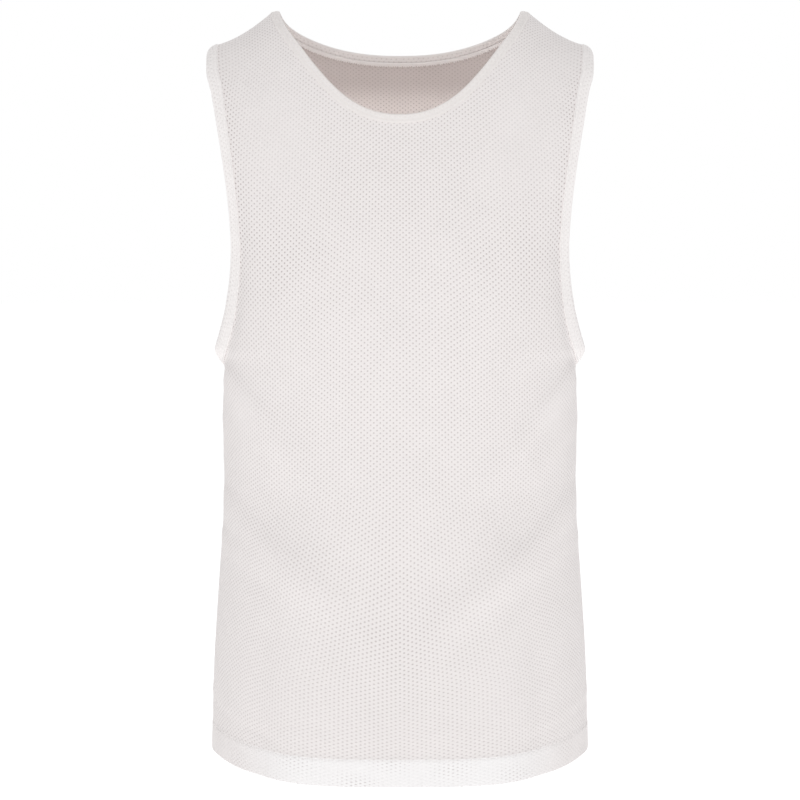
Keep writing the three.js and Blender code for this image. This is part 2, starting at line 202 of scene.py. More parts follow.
# Bindings and seams
FOLDED_THICKNESS = 2.4
BINDING_EDGE_IN = 0.8
BINDING_DOME = 0.3
TURNED_EDGE_FALL = 0.35
TURNED_EDGE_REACH = 1.2
STITCH_GROOVE = 0.12
STITCH_GROOVE_REACH = 0.6
SEAM_DIP = 1.0
SEAM_DIP_REACH = 1.5
PUCKER_RISE = 0.28
PUCKER_REACH = 7.0
PUCKER_SPACING = 9.0

# The gathers' waves, each as its share, its pace and its start
PUCKER_WAVES = ((0.6, 1.0, 0.0), (0.4, 0.63, 1.3))

# Where the neck binding is pressed flat over the shoulder seam
PEAK_PRESS = 1.5
PEAK_HALF_WIDTH = 113.0
PEAK_REACH = 8.0
PEAK_LOWEST_HEIGHT = -56.5

# The armhole binding widens and rolls under the arm. Its turn runs from 0 there to 1 on the shoulder.
TIP_WIDENING = 0.2
TIP_WIDENING_START = 0.72
UNDERARM_WIDENING = 0.75
UNDERARM_WIDEST = 0.28
UNDERARM_WIDENING_REACH = 0.17
ROLL_RISE = 2.3
ROLL_EDGE_PRESS = 1.3
ROLL_EDGE_REACH = 3.5
ROLL_FADE_START = 0.12
ROLL_END = 0.6
GROOVE_DEPTH = 2.8
GROOVE_REACH = 12.0
GROOVE_START_HEIGHT = -130.0
GROOVE_FULL_HEIGHT = -260.0

# The hem's upper edge: the cloth above it is lower by a step, which is made up again further on
HEM_STEP = 0.45
HEM_STEP_START = 0.8
HEM_STEP_REACH = 2.5
HEM_STEP_MADE_UP = 22.5
HEM_GROOVE = 0.3
HEM_GROOVE_REACH = 1.0
HEM_STITCH_LIFT = 23.6
HEM_STITCH_END = 0.004
DOUBLED_FADE = (24.2, 25.4)

# Stitches. The profile of one has (share of its length, share of its radius, lift) at each place along it.
NECK_STITCH_ROWS = (4.6, 7.3)
ARMHOLE_STITCH_ROWS = (8.6, 11.6)
STITCH_LENGTH = 2.5
STITCH_GAP = 0.55
STITCH_SINK = 0.2
THREAD_RADIUS = 0.24
STITCH_PROFILE = np.array([
    (-0.5, 0.55, -0.35), (-0.38, 0.95, 0.02), (-0.15, 1, 0.12),
    (0.15, 1, 0.12), (0.38, 0.95, 0.02), (0.5, 0.55, -0.35),
])

# Overlocked allowances. The profile has (share of the width, share of the wall) round the band.
OVERLOCK_WIDTH = 4.4
OVERLOCK_PITCH = 2.1
OVERLOCK_TOOTH = 0.3
OVERLOCK_UNEVEN = 0.12
OVERLOCK_UNEVEN_LENGTHS = (6.3, 4.1)
OVERLOCK_LOOP = (0.12, 1.02)
ALLOWANCE_START = -0.1
ALLOWANCE_GAP = 0.05
ALLOWANCE_WALL = 0.9
SIDE_NORMAL_INSET = 0.01
ALLOWANCE_PROFILE = np.array([(0, 0.5), (0.5, 0.5), (0.9, 0.4), (1, 0), (0.9, -0.4), (0.5, -0.5), (0, -0.5)])

# The knit: one repeat is this wide and high, with one hole at its corner and one at its middle
HOLE_REPEAT_WIDE = 5.8
HOLE_REPEAT_HIGH = 4.7
HOLE_RADIUS = 0.72

# Soft edges in hole radii, from none to all: of a hole, of one in the layer behind, and of the cords
HOLE_EDGE = (1.35, 0.65)
HOLE_BEHIND_EDGE = (2.4, 0.6)
CORD_EDGE = (0.4, 2.3)
LAYER_BEHIND = {"turn": 0.03, "scale": 1.09, "shift": (0.3, 0.2, 0.0)}
PATCHES_PER_METRE = 28.0
YARNS_PER_METRE = 1700.0
TWISTS_PER_METRE = 2600.0
YARN_BUMP = 0.35

# The doubled hem is paler in front, and painted shade darkens the inside between these heights below the neck
PALE_SIDE_START = 0.3
PALE_SIDE_END = 0.72
PAINTED_SHADE_FROM = -58.0
PAINTED_SHADE_TO = -86.0

# The worn knit's stretch at each height: in width and then in height, each at three places round it
STRETCH_ACROSS = np.array([0.0, 0.34, 0.6])
KNIT_STRETCH = np.array([
    (0, 0.87, 0.90, 1.25, 0.84, 0.84, 0.98),
    (-130, 0.90, 0.94, 1.20, 0.88, 0.94, 0.98),
    (-200, 0.94, 0.93, 1.16, 0.90, 1.00, 1.04),
    (-260, 0.98, 0.92, 1.02, 0.97, 1.00, 1.02),
    (-340, 1.00, 0.89, 0.98, 1.02, 0.86, 0.83),
    (-430, 1.01, 0.92, 0.95, 0.98, 0.87, 0.78),
    (-515, 1.14, 1.08, 0.94, 1.02, 0.88, 0.83),
    (-600, 1.34, 1.31, 0.90, 0.75, 0.79, 0.83),
    (-700, 1.35, 1.38, 0.84, 0.60, 0.64, 0.80),
], float)

# The mesh rows rise towards the sides: places round the body, and how far they have risen there
ROW_RISE = np.array([(0, 0), (0.17, 4.5), (0.34, 14), (0.5, 18), (0.6, 16.5), (0.8, 12), (1, 12)], float)

# How dark the holes look, partly from how far they stand open and partly painted shade: the even share, and
# patches as side, height, their two reaches and the change
EVEN_OPENNESS_AND_SHADE = 0.6
OPENNESS_AND_SHADE_PATCHES = (
    (108, -115, 36, 70, -0.32),
    (115, -215, 45, 50, 0.26),
    (0, -150, 36, 60, 0.1),
    (140, -60, 45, 45, -0.1),
    (165, -45, 25, 20, -0.25),
    (139, -362, 11, 24, -0.35),
    (0, -560, 30, 40, 0.12),
    (100, -610, 50, 70, -0.2),
    (0, -640, 60, 25, -0.12),
)
ARMHOLE_OPENNESS_AND_SHADE = 0.42
ARMHOLE_OPENNESS_AND_SHADE_REACH = 9.0
SEAM_OPENNESS = 0.2
SEAM_OPENNESS_START = 1.0
SEAM_OPENNESS_END = 8.0
BINDING_HOLE_ROW_REACH = 1.3
HOLES_FROM_EDGE = 3.0

# Numbers of cells
SIDE_SEAM_ROWS = 12
ARMHOLE_STATIONS = 20
NECK_STATIONS = 10
CENTRE_ROWS = SIDE_SEAM_ROWS + ARMHOLE_STATIONS - NECK_STATIONS
PANEL_ROW_RUNS = ((0, 0.84, 8), (0.84, 1.16, 12), (1.16, 1.6, 5),
                  (1.6, 31.3, 166), (31.3, 31.8, 5), (31.8, 32, 6))
PANEL_SHARE_RUNS = ((0, 0.968, 70), (0.968, 0.992, 8), (0.992, 1, 6))
BINDING_OUTER_POINTS = 22
BINDING_FOLD_POINTS = 9
BINDING_INNER_POINTS = 8
HEM_FOLD_POINTS = 9
THREAD_SIDES = 6
KNIT_TABLE_SIZE = (121, 301)
WALK_STEPS = 8
EDGE_STATIONS = 160
SIDE_ALLOWANCE_STATIONS = 80
SHOULDER_STATIONS = 60
SHOULDER_ALLOWANCE_PART = slice(6, -8)

QUARTER_TURN = math.pi / 2
ACROSS_STEP = 1e-3
RISE_STEP = 0.2
TURN_STEP = 1e-3
MIRROR = np.array([-1.0, 1.0, 1.0])


@dataclass(frozen=True)
class Binding:
    """One kind of binding: its edge, its widths that show, its stitch rows and how its holes show."""

    edge: object
    into: int
    shows: float
    shows_inside: float
    stitch_rows: tuple
    hole_row: float
    hidden_openness: float
    row_openness: float
    inside_openness: float


@dataclass(frozen=True)
class Panel:
    """One panel: where its upright wall starts to arch over, how it arches, and its neck, armhole and hem."""

    name: str
    facing: int
    depth_column: int
    spring_height: float
    arch_length: float
    arch_power: float
    crown_half_width: float
    neck_drop: float
    neck_power: float
    armhole_power: float
    hem_dip: float
    folds: tuple
    creases: tuple


FRONT = Panel(
    name="front", facing=-1, depth_column=FRONT_DEPTH, spring_height=-270.0, arch_length=320.0,
    arch_power=1.95, crown_half_width=60.0, neck_drop=96.0, neck_power=2.42, armhole_power=2.6, hem_dip=10.0,
    folds=FRONT_FOLDS, creases=FRONT_CREASES,
)
BACK = Panel(
    name="back", facing=1, depth_column=BACK_DEPTH, spring_height=-220.0, arch_length=270.0, arch_power=1.7,
    crown_half_width=95.0, neck_drop=35.7, neck_power=2.55, armhole_power=2.6, hem_dip=6.0,
    folds=BACK_FOLDS, creases=BACK_CREASES,
)


def mix(start, end, share):
    return start + (end - start) * share


def smoothstep(value, start, end):
    share = np.clip((value - start) / (end - start), 0, 1)
    return share * share * (3 - 2 * share)


def unit(vectors):
    return vectors / np.linalg.norm(vectors, axis=-1, keepdims=True)


def dot(a, b):
    return (a * b).sum(-1)


def near_line(points, line):
    """Each point's distance to a line, and the number of the line's nearest point."""
    squares = (points ** 2).sum(-1)[:, None] + (line ** 2).sum(-1)[None, :] - 2 * points @ line.T
    nearest = squares.argmin(1)
    steps = np.gradient(line, axis=0)[nearest]
    half_step = np.linalg.norm(steps, axis=-1) / 2
    offset = points - line[nearest]
    along = np.clip(dot(offset, unit(steps)), -half_step, half_step)
    return np.linalg.norm(offset - unit(steps) * along[:, None], axis=-1), nearest


def rounded_quarter(angle, power):
    """A rounded unit quarter: cosine and sine, each over the length that their sum of powers gives."""
    out, up = np.cos(angle), np.sin(angle)
    reach = (np.abs(out) ** power + np.abs(up) ** power) ** (1 / power)
    return out / reach, up / reach


def turn_share(up, power):
    """The inverse: the share of a quarter turn at which the rounded quarter has this sine side."""
    return math.atan2(up, (1 - up ** power) ** (1 / power)) / QUARTER_TURN


def body_size(height, column):
    """A smooth curve through one column of the levels: a cubic between rows, with the neighbours' slopes."""
    heights, sizes = BODY_LEVELS[:, HEIGHT], BODY_LEVELS[:, column]
    above = np.maximum(np.arange(len(sizes)) - 1, 0)
    below = np.minimum(np.arange(len(sizes)) + 1, len(sizes) - 1)
    slopes = (sizes[below] - sizes[above]) / (heights[below] - heights[above])
    row = np.clip(np.searchsorted(-heights[1:], -np.asarray(height)), 0, len(sizes) - 2)
    span = heights[row + 1] - heights[row]
    share = np.clip((height - heights[row]) / span, 0, 1)
    leave = slopes[row] * span * share * (1 - share) ** 2
    arrive = slopes[row + 1] * span * share ** 2 * (share - 1)
    return mix(sizes[row], sizes[row + 1], share * share * (3 - 2 * share)) + leave + arrive


def ridge_height(panel, side, arch_share):
    """The shoulder ridge's height at a side: a line with a bow and a rounded end, level inside its start."""
    seam_span = SEAM_END_HALF_WIDTH - RIDGE_START_HALF_WIDTH
    near_ridge = smoothstep(arch_share, RIDGE_TOP_SHARE, 1)
    level_half_width = mix(panel.crown_half_width, RIDGE_TOP_HALF_WIDTH, near_ridge)
    level_span = RIDGE_START_HALF_WIDTH - level_half_width
    beyond_level = np.maximum(side - level_half_width, 0) / level_span
    inside = RIDGE_FALL / seam_span * level_span / 2 * (1 - beyond_level ** 2)
    share = (side - RIDGE_START_HALF_WIDTH) / seam_span
    past_start = np.maximum(side - RIDGE_END_START, 0) / (SHOULDER_TIP_HALF_WIDTH - RIDGE_END_START)
    outside = RIDGE_BOW * share ** 2 - RIDGE_FALL * share - RIDGE_END_DROP * past_start ** RIDGE_END_POWER
    return RIDGE_START_HEIGHT + np.where(share < 0, inside, outside)


def body_point(panel, across, rise):
    """The plain body: a rounded girth at each height, whose depth closes on a rounded quarter up to the
    ridge. across is 0 on the centre line and 1 at the side seam. rise is in millimetres above the line where
    the wall starts to arch over."""
    across, rise = np.broadcast_arrays(across, rise)
    arch_angle = np.maximum(rise, 0) / panel.arch_length * QUARTER_TURN
    arch_out, arch_up = rounded_quarter(arch_angle, panel.arch_power)
    level = panel.spring_height * (1 - arch_up) + np.minimum(rise, 0)
    girth_out, girth_up = rounded_quarter(across * QUARTER_TURN, body_size(level, SQUARENESS))
    x = body_size(level, HALF_WIDTH) * girth_up
    depth = body_size(np.minimum(level, panel.spring_height), panel.depth_column)
    y = panel.facing * depth * girth_out * arch_out
    arched = mix(panel.spring_height, ridge_height(panel, np.abs(x), arch_up), arch_up)
    return np.stack([x, y, np.where(rise > 0, arched, level)], -1)


def surface_normal(surface, panel, across, rise):
    """The outward normal: the cross product of small steps across and up."""
    step_across = surface(panel, across + ACROSS_STEP, rise) - surface(panel, across - ACROSS_STEP, rise)
    step_up = surface(panel, across, rise + RISE_STEP) - surface(panel, across, rise - RISE_STEP)
    return unit(-panel.facing * np.cross(step_across, step_up))


def fold_lift(fold, end_fade, side, height):
    """A bell across the fold's line, which fades past both ends."""
    start, end, spread, rise = fold
    line = np.subtract(end, start)
    length = np.hypot(*line)
    from_side, from_height = side - start[0], height - start[1]
    along = (from_side * line[0] + from_height * line[1]) / length
    off = (from_side * line[1] - from_height * line[0]) / length
    beyond = np.maximum(np.maximum(-along, along - length), 0)
    return rise * np.exp(-(off / spread) ** 2 - (beyond / end_fade) ** 2)


NECK_ACROSS = turn_share(NECK_HALF_WIDTH / SHOULDER_TOP_HALF_WIDTH, SHOULDER_SQUARENESS)
TIP_ACROSS = turn_share(SHOULDER_TIP_HALF_WIDTH / SHOULDER_TOP_HALF_WIDTH, SHOULDER_SQUARENESS)


def neck_edge(panel, turn):
    """The finished neck edge, from the centre line at turn 0 to the ridge at turn 1, as (across, rise)."""
    out, up = rounded_quarter(turn * QUARTER_TURN, panel.neck_power)
    top = float(ridge_height(panel, 0.0, 0.0))
    centre_up = (-panel.neck_drop - panel.spring_height) / (top - panel.spring_height)
    centre_rise = turn_share(centre_up, panel.arch_power) * panel.arch_length
    return NECK_ACROSS * up, mix(panel.arch_length, centre_rise, out)


def armhole_edge(panel, turn):
    """The finished armhole edge, from under the arm at turn 0 to the ridge at turn 1, as (across, rise)."""
    out, up = rounded_quarter(turn * QUARTER_TURN, panel.armhole_power)
    return mix(1, TIP_ACROSS, up), mix(panel.arch_length, UNDERARM_HEIGHT - panel.spring_height, out)


EDGE_TURNS = np.linspace(0, 1, EDGE_STATIONS)
BODY_EDGES = {panel.name: body_point(panel, *armhole_edge(panel, EDGE_TURNS)) for panel in (FRONT, BACK)}


def mirrored_side(point):
    """The same place on the +X half."""
    return np.concatenate([np.abs(point[..., :1]), point[..., 1:]], -1)


def cloth_lift(panel, across, point):
    """How far the cloth stands off the body: folds and creases, the lip and roll under the arm, and the
    binding pressed flat where it crosses the shoulder seam."""
    side, y, height = np.abs(point[..., 0]), point[..., 1], point[..., 2]
    from_side_seam = 1 - np.abs(across)
    folds = sum(fold_lift(fold, FOLD_END_FADE, side, height) for fold in panel.folds)
    creases = sum(fold_lift(crease, CREASE_END_FADE, side, height) for crease in panel.creases)
    seam_fade = 1 - np.exp(-(from_side_seam / FOLD_SIDE_FADE) ** 2)
    crease_fade = 1 - np.exp(-(y / CREASE_SEAM_REACH) ** 2)
    from_lip = (height - LIP_HEIGHT) / np.where(height > LIP_HEIGHT, LIP_REACH_UP, LIP_REACH_DOWN)
    lip = LIP_RISE * np.exp(-from_lip ** 2 - (from_side_seam / LIP_REACH_ROUND) ** 2)
    peak = PEAK_PRESS * np.exp(-((side - PEAK_HALF_WIDTH) / PEAK_REACH) ** 2 - (y / PEAK_REACH) ** 2)
    peak = np.where(height > PEAK_LOWEST_HEIGHT, peak, 0)
    return folds * seam_fade + creases * crease_fade + lip + armhole_form(panel, point) - peak


def armhole_widening(turn):
    """How much wider the armhole binding is pulled where it curls over the shoulder and under the arm."""
    over_shoulder = TIP_WIDENING * smoothstep(turn, TIP_WIDENING_START, 1)
    under_arm = UNDERARM_WIDENING * np.exp(-((turn - UNDERARM_WIDEST) / UNDERARM_WIDENING_REACH) ** 2)
    return 1 + over_shoulder + under_arm


def armhole_form(panel, point):
    """Under the arm the armhole binding is a round roll, half a sine wave across its width, which flares out
    from a soft groove at its seam."""
    distance, nearest = near_line(point.reshape(-1, 3), BODY_EDGES[panel.name])
    distance = distance.reshape(point.shape[:-1])
    turn = EDGE_TURNS[nearest].reshape(point.shape[:-1])
    width = ARMHOLE_SHOWS * armhole_widening(turn)
    roll = ROLL_RISE * np.sin(np.clip(distance / width, 0, 1) * math.pi)
    roll -= ROLL_EDGE_PRESS * np.exp(-(distance / ROLL_EDGE_REACH) ** 2)
    roll *= 1 - smoothstep(turn, ROLL_FADE_START, ROLL_END)
    under_arm = smoothstep(-point[..., 2], -GROOVE_START_HEIGHT, -GROOVE_FULL_HEIGHT)
    return roll - GROOVE_DEPTH * under_arm * np.exp(-((distance - width) / GROOVE_REACH) ** 2)


def cloth_point(panel, across, rise):
    """The cloth's middle surface: the body moved out along its normal by the lift."""
    point = body_point(panel, across, rise)
    normal = surface_normal(body_point, panel, across, rise)
    across, _ = np.broadcast_arrays(across, rise)
    return point + normal * cloth_lift(panel, across, mirrored_side(point))[..., None]


def cloth_layer(panel, across, rise, out):
    """The middle surface moved out along its own normal by a distance."""
    normal = surface_normal(cloth_point, panel, across, rise)
    return cloth_point(panel, across, rise) + normal * np.asarray(out)[..., None]


def hem_rise(panel, across):
    """The hem's lowest line: level at the sides and lower by its dip across the middle."""
    forward, _ = rounded_quarter(across * QUARTER_TURN, body_size(HEM_SIDE_HEIGHT, SQUARENESS))
    dip = panel.hem_dip * smoothstep(forward, HEM_DIP_START, HEM_DIP_END)
    corner = HEM_CORNER_LIFT * smoothstep(across, HEM_CORNER_START, 1)
    return HEM_SIDE_HEIGHT - dip + corner - panel.spring_height


def surface_slopes(panel, across, rise):
    """How the cloth's place changes with across and with rise, from small steps both ways."""
    by_across = (cloth_point(panel, across + ACROSS_STEP, rise)
                 - cloth_point(panel, across - ACROSS_STEP, rise))
    by_rise = cloth_point(panel, across, rise + RISE_STEP) - cloth_point(panel, across, rise - RISE_STEP)
    return by_across / (2 * ACROSS_STEP), by_rise / (2 * RISE_STEP)


def surface_step(panel, across, rise, heading):
    """The step in (across, rise) that goes a millimetre along a heading: the heading laid flat on the cloth,
    and solved in the basis of the cloth's two slopes. Gives the flat heading too."""
    by_across, by_rise = surface_slopes(panel, across, rise)
    normal = unit(np.cross(by_across, by_rise))
    flat = unit(heading - normal * dot(heading, normal)[..., None])
    shared = dot(by_across, by_rise)
    spread = dot(by_across, by_across) * dot(by_rise, by_rise) - shared ** 2
    step_across = (dot(flat, by_across) * dot(by_rise, by_rise) - dot(flat, by_rise) * shared) / spread
    step_rise = (dot(flat, by_rise) * dot(by_across, by_across) - dot(flat, by_across) * shared) / spread
    return step_across, step_rise, flat


def inward_step(panel, edge, turn, into):
    """The step in (across, rise) that goes one millimetre into the cloth, square to a bound edge."""
    across, rise = edge(panel, turn)
    ahead, behind = edge(panel, turn + TURN_STEP), edge(panel, turn - TURN_STEP)
    tangent = cloth_point(panel, *ahead) - cloth_point(panel, *behind)
    normal = surface_normal(cloth_point, panel, across, rise)
    return surface_step(panel, across, rise, panel.facing * into * np.cross(normal, tangent))


def place_inside(panel, edge, turn, into, distance):
    """The place a distance into the cloth from a finished edge, kept within the seams."""
    across, rise = edge(panel, turn)
    step_across, step_rise, _ = inward_step(panel, edge, turn, into)
    return (np.clip(across + step_across * distance, 0, 1),
            np.minimum(rise + step_rise * distance, panel.arch_length))


def straight_rise(hem, top, row, rows):
    """Rows up a straight edge: the hem's depth first, and even above it."""
    return np.where(row < 1, hem + HEM_DEPTH * row, mix(hem + HEM_DEPTH, top, (row - 1) / (rows - 1)))


def side_places(panel, rows, edge, into, distance, start_row, stations, straight_across):
    """One side column of a half panel: up a straight line to start_row, and then along a bound edge."""
    turn = np.clip((rows - start_row) / stations, 0, 1)
    edge_across, edge_rise = place_inside(panel, edge, turn, into, distance)
    _, top = place_inside(panel, edge, np.array(0.0), into, distance)
    straight = straight_rise(hem_rise(panel, straight_across), top, rows, start_row)
    on_edge = rows > start_row
    return np.where(on_edge, edge_across, straight_across), np.where(on_edge, edge_rise, straight)


def panel_places(panel, rows, shares):
    """The net of a half panel: straight rows from the neck column to the armhole column, bent to the hem."""
    neck_in = NECK_BINDING_WIDTH + SEAM_GAP - NECK_TUCK
    armhole_in = ARMHOLE_BINDING_WIDTH + SEAM_GAP - ARMHOLE_TUCK
    inner = side_places(panel, rows, neck_edge, 1, neck_in, CENTRE_ROWS, NECK_STATIONS, 0.0)
    outer = side_places(panel, rows, armhole_edge, -1, armhole_in, SIDE_SEAM_ROWS, ARMHOLE_STATIONS, 1.0)
    across = mix(inner[0][:, None], outer[0][:, None], shares)
    even_hem = mix(hem_rise(panel, 0.0), hem_rise(panel, 1.0), shares)
    fade = np.maximum(1 - np.maximum(rows - 1, 0) / SIDE_SEAM_ROWS, 0)
    hem_shape = (hem_rise(panel, shares) - even_hem) * fade[:, None]
    return across, mix(inner[1][:, None], outer[1][:, None], shares) + hem_shape


def runs(*stretches):
    """Joins even stretches, each as (start, end, steps), into one rising row of values."""
    parts = [np.linspace(start, end, steps + 1) for start, end, steps in stretches]
    return np.unique(np.concatenate(parts).round(6))


def knit_stretch(across, height):
    """Reads the stretch table evenly between its heights, and between its places round the body."""
    at_height = [np.interp(-height, -KNIT_STRETCH[:, 0], column) for column in KNIT_STRETCH.T[1:]]
    to_middle = np.interp(across, STRETCH_ACROSS[:2], (0, 1))
    to_side = np.interp(across, STRETCH_ACROSS[1:], (0, 1))
    wide = mix(mix(at_height[0], at_height[1], to_middle), at_height[2], to_side)
    high = mix(mix(at_height[3], at_height[4], to_middle), at_height[5], to_side)
    return wide, high


def cloth_coordinates(panel):
    """Tables of the knit's own coordinates in millimetres of unstretched cloth, over (across, rise): lengths
    along the surface, summed step by step, each divided by how far the worn cloth is stretched there."""
    across = np.linspace(0, 1, KNIT_TABLE_SIZE[0])
    rise = np.linspace(hem_rise(panel, 0.0) - 2, panel.arch_length, KNIT_TABLE_SIZE[1])
    points = body_point(panel, across[None, :], rise[:, None])
    wide, high = knit_stretch(across, points[..., 2])
    step_u = np.linalg.norm(np.diff(points, axis=1), axis=-1) / ((wide[:, 1:] + wide[:, :-1]) / 2)
    step_v = np.linalg.norm(np.diff(points, axis=0), axis=-1) / ((high[1:] + high[:-1]) / 2)
    u = np.concatenate([np.zeros((len(rise), 1)), np.cumsum(step_u, 1)], 1)
    v = np.concatenate([np.zeros((1, len(across))), np.cumsum(step_v, 0)], 0)
    spring = np.searchsorted(rise, 0)
    return across, rise, u, v - v[spring] + np.interp(across, *ROW_RISE.T)


def read_table(table_across, table_rise, table, across, rise):
    """Reads a table between its points, evenly in both directions."""
    column = np.interp(across, table_across, np.arange(len(table_across)))
    row = np.interp(rise, table_rise, np.arange(len(table_rise)))
    c = np.minimum(column.astype(int), len(table_across) - 2)
    r = np.minimum(row.astype(int), len(table_rise) - 2)
    lower = mix(table[r, c], table[r, c + 1], column - c)
    upper = mix(table[r + 1, c], table[r + 1, c + 1], column - c)
    return mix(lower, upper, row - r)


def hem_fold_rows():
    """The turned-up hem, from its loose edge to the fold: (lift, out) of the wall's outer and inner face."""
    middle = -(CLOTH_WALL + HEM_INNER_GAP) / 2
    outer_radius, inner_radius = CLOTH_WALL / 2 - middle, HEM_INNER_GAP / 2
    lifts = runs((HEM_DEPTH, outer_radius, 9))[::-1]
    flat = np.stack([lifts, np.full_like(lifts, middle - outer_radius),
                     lifts, np.full_like(lifts, middle - inner_radius)], -1)[:-1]
    angle = np.linspace(math.pi, 0, HEM_FOLD_POINTS)
    fold = np.stack([outer_radius * (1 - np.sin(angle)), middle + outer_radius * np.cos(angle),
                     outer_radius - inner_radius * np.sin(angle), middle + inner_radius * np.cos(angle)], -1)
    return np.concatenate([flat, fold])


def path_lengths(path):
    """The length along a path up to each of its points."""
    return np.concatenate([[0], np.cumsum(np.linalg.norm(np.diff(path, axis=0), axis=-1))])


def seam_pucker(points, line):
    """Small uneven gathers beside a sewn line: waves along it, which die away within a few millimetres."""
    distance, nearest = near_line(points.reshape(-1, 3), line)
    along = path_lengths(line)[nearest] * 2 * math.pi / PUCKER_SPACING
    wave = sum(share * np.sin(along * pace + start) for share, pace, start in PUCKER_WAVES)
    return (PUCKER_RISE * wave * np.exp(-(distance / PUCKER_REACH) ** 2)).reshape(points.shape[:-1])


def edge_line(panel, edge, into, distance):
    """Points along a bound edge, a distance into the cloth."""
    return cloth_point(panel, *place_inside(panel, edge, EDGE_TURNS, into, distance))


def grid_quads(numbers):
    """The four-sided cells of a grid of point numbers."""
    corners = [numbers[:-1, :-1], numbers[:-1, 1:], numbers[1:, 1:], numbers[1:, :-1]]
    return np.stack(corners, -1).reshape(-1, 4)


def turned_outward(points, cells):
    """The cells of a closed body with faces out: all are turned round if they hold a negative volume."""
    volume = sum(dot(points[part[:, :1]], np.cross(points[part[:, 1:-1]], points[part[:, 2:]])).sum()
                 for part in cells)
    return cells if volume > 0 else [part[:, ::-1] for part in cells]


def closed_sheet(outer, inner, quads):
    """A closed wall from its two faces, which share their cells, and a rim on every edge that only one cell
    has. Returns the points, the cells turned outwards, and how many of the cells are the outer face."""
    count = len(outer)
    starts, ends = quads.ravel(), np.roll(quads, -1, 1).ravel()
    single = ~np.isin(starts.astype(np.int64) * count + ends, ends.astype(np.int64) * count + starts)
    a, b = starts[single], ends[single]
    rims = np.stack([b, a, a + count, b + count], -1)
    points = np.concatenate([outer, inner])
    cells = np.concatenate([quads, quads[:, ::-1] + count, rims])
    return points, turned_outward(points, [cells]), len(quads)


def new_piece(name, points, cells, materials, material_rows=None, uv=None, **marks):
    """Makes a mesh piece in metres from points in millimetres, with its knit coordinates and the marks on its
    points. The cells are a list of arrays, one for each number of corners."""
    corners = np.concatenate([part.ravel() for part in cells])
    used = np.unique(corners)
    renumber = np.zeros(len(points), int)
    renumber[used] = np.arange(len(used))
    mesh = bpy.data.meshes.new(name)
    faces = [face for part in cells for face in renumber[part].tolist()]
    mesh.from_pydata((points[used] * METRES).tolist(), [], faces)
    for material in materials:
        mesh.materials.append(material)
    if material_rows is not None:
        mesh.polygons.foreach_set("material_index", material_rows.astype(np.int32))
    if uv is not None:
        layer = mesh.uv_layers.new(name="knit")
        layer.data.foreach_set("uv", (uv[corners] * METRES).astype(np.float32).ravel())
    for mark, values in marks.items():
        attribute = mesh.attributes.new(mark, "FLOAT", "POINT")
        attribute.data.foreach_set("value", values[used].astype(np.float32))
    mesh.polygons.foreach_set("use_smooth", np.ones(len(mesh.polygons), bool))
    mesh.update()
    piece = bpy.data.objects.new(name, mesh)
    bpy.context.scene.collection.objects.link(piece)
    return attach(piece, "root")


def linear(code):
    """An sRGB hex colour as linear red, green, blue and full alpha."""
    channels = [int(code[place:place + 2], 16) / 255 for place in (1, 3, 5)]
    return (*((c / 12.92 if c <= 0.04045 else ((c + 0.055) / 1.055) ** 2.4) for c in channels), 1.0)


def add_node(tree, kind, values=None, **settings):
    """Adds a node with its settings. A value that is another node's output is linked, others are set."""
    node = tree.nodes.new(kind)
    for name, value in settings.items():
        setattr(node, name, value)
    for socket, value in (values or {}).items():
        if isinstance(value, bpy.types.NodeSocket):
            tree.links.new(value, node.inputs[socket])
        else:
            node.inputs[socket].default_value = value
    return node


def calculate(tree, operation, *values, clamp=False):
    """One step of arithmetic, as its output."""
    inputs = dict(enumerate(values))
    return add_node(tree, "ShaderNodeMath", inputs, operation=operation, use_clamp=clamp).outputs[0]


def new_material(name):
    material = bpy.data.materials.new(name)
    material.use_nodes = True
    material.node_tree.nodes.clear()
    return material, material.node_tree


def hole_distance(tree, knit, turn=0.0, scale=1.0, shift=(0.0, 0.0, 0.0)):
    """Distance in millimetres from the knit's nearest hole: a repeat has one at its corner and its middle."""
    repeat = (HOLE_REPEAT_WIDE * scale, HOLE_REPEAT_HIGH * scale, 0.0)
    placed = add_node(tree, "ShaderNodeMapping", {
        "Vector": knit, "Location": shift, "Rotation": (0.0, 0.0, turn),
        "Scale": (1 / (repeat[0] * METRES), 1 / (repeat[1] * METRES), 0.0),
    }).outputs[0]

    def step(operation, *values):
        return add_node(tree, "ShaderNodeVectorMath", dict(enumerate(values)), operation=operation).outputs

    distances = []
    for offset in ((0.5, 0.5, 0.0), (0.0, 0.0, 0.0)):
        share = step("FRACTION", step("ADD", placed, offset)[0])[0]
        centred = step("SUBTRACT", share, (0.5, 0.5, 0.0))[0]
        distances.append(step("LENGTH", step("MULTIPLY", centred, repeat)[0])["Value"])
    return calculate(tree, "MINIMUM", *distances)


def fade_in(tree, value, start, end):
    """A smooth step of a value from 0 at start to 1 at end."""
    return add_node(tree, "ShaderNodeMapRange", {
        "Value": value, "From Min": start, "From Max": end,
    }, interpolation_type="SMOOTHSTEP").outputs[0]


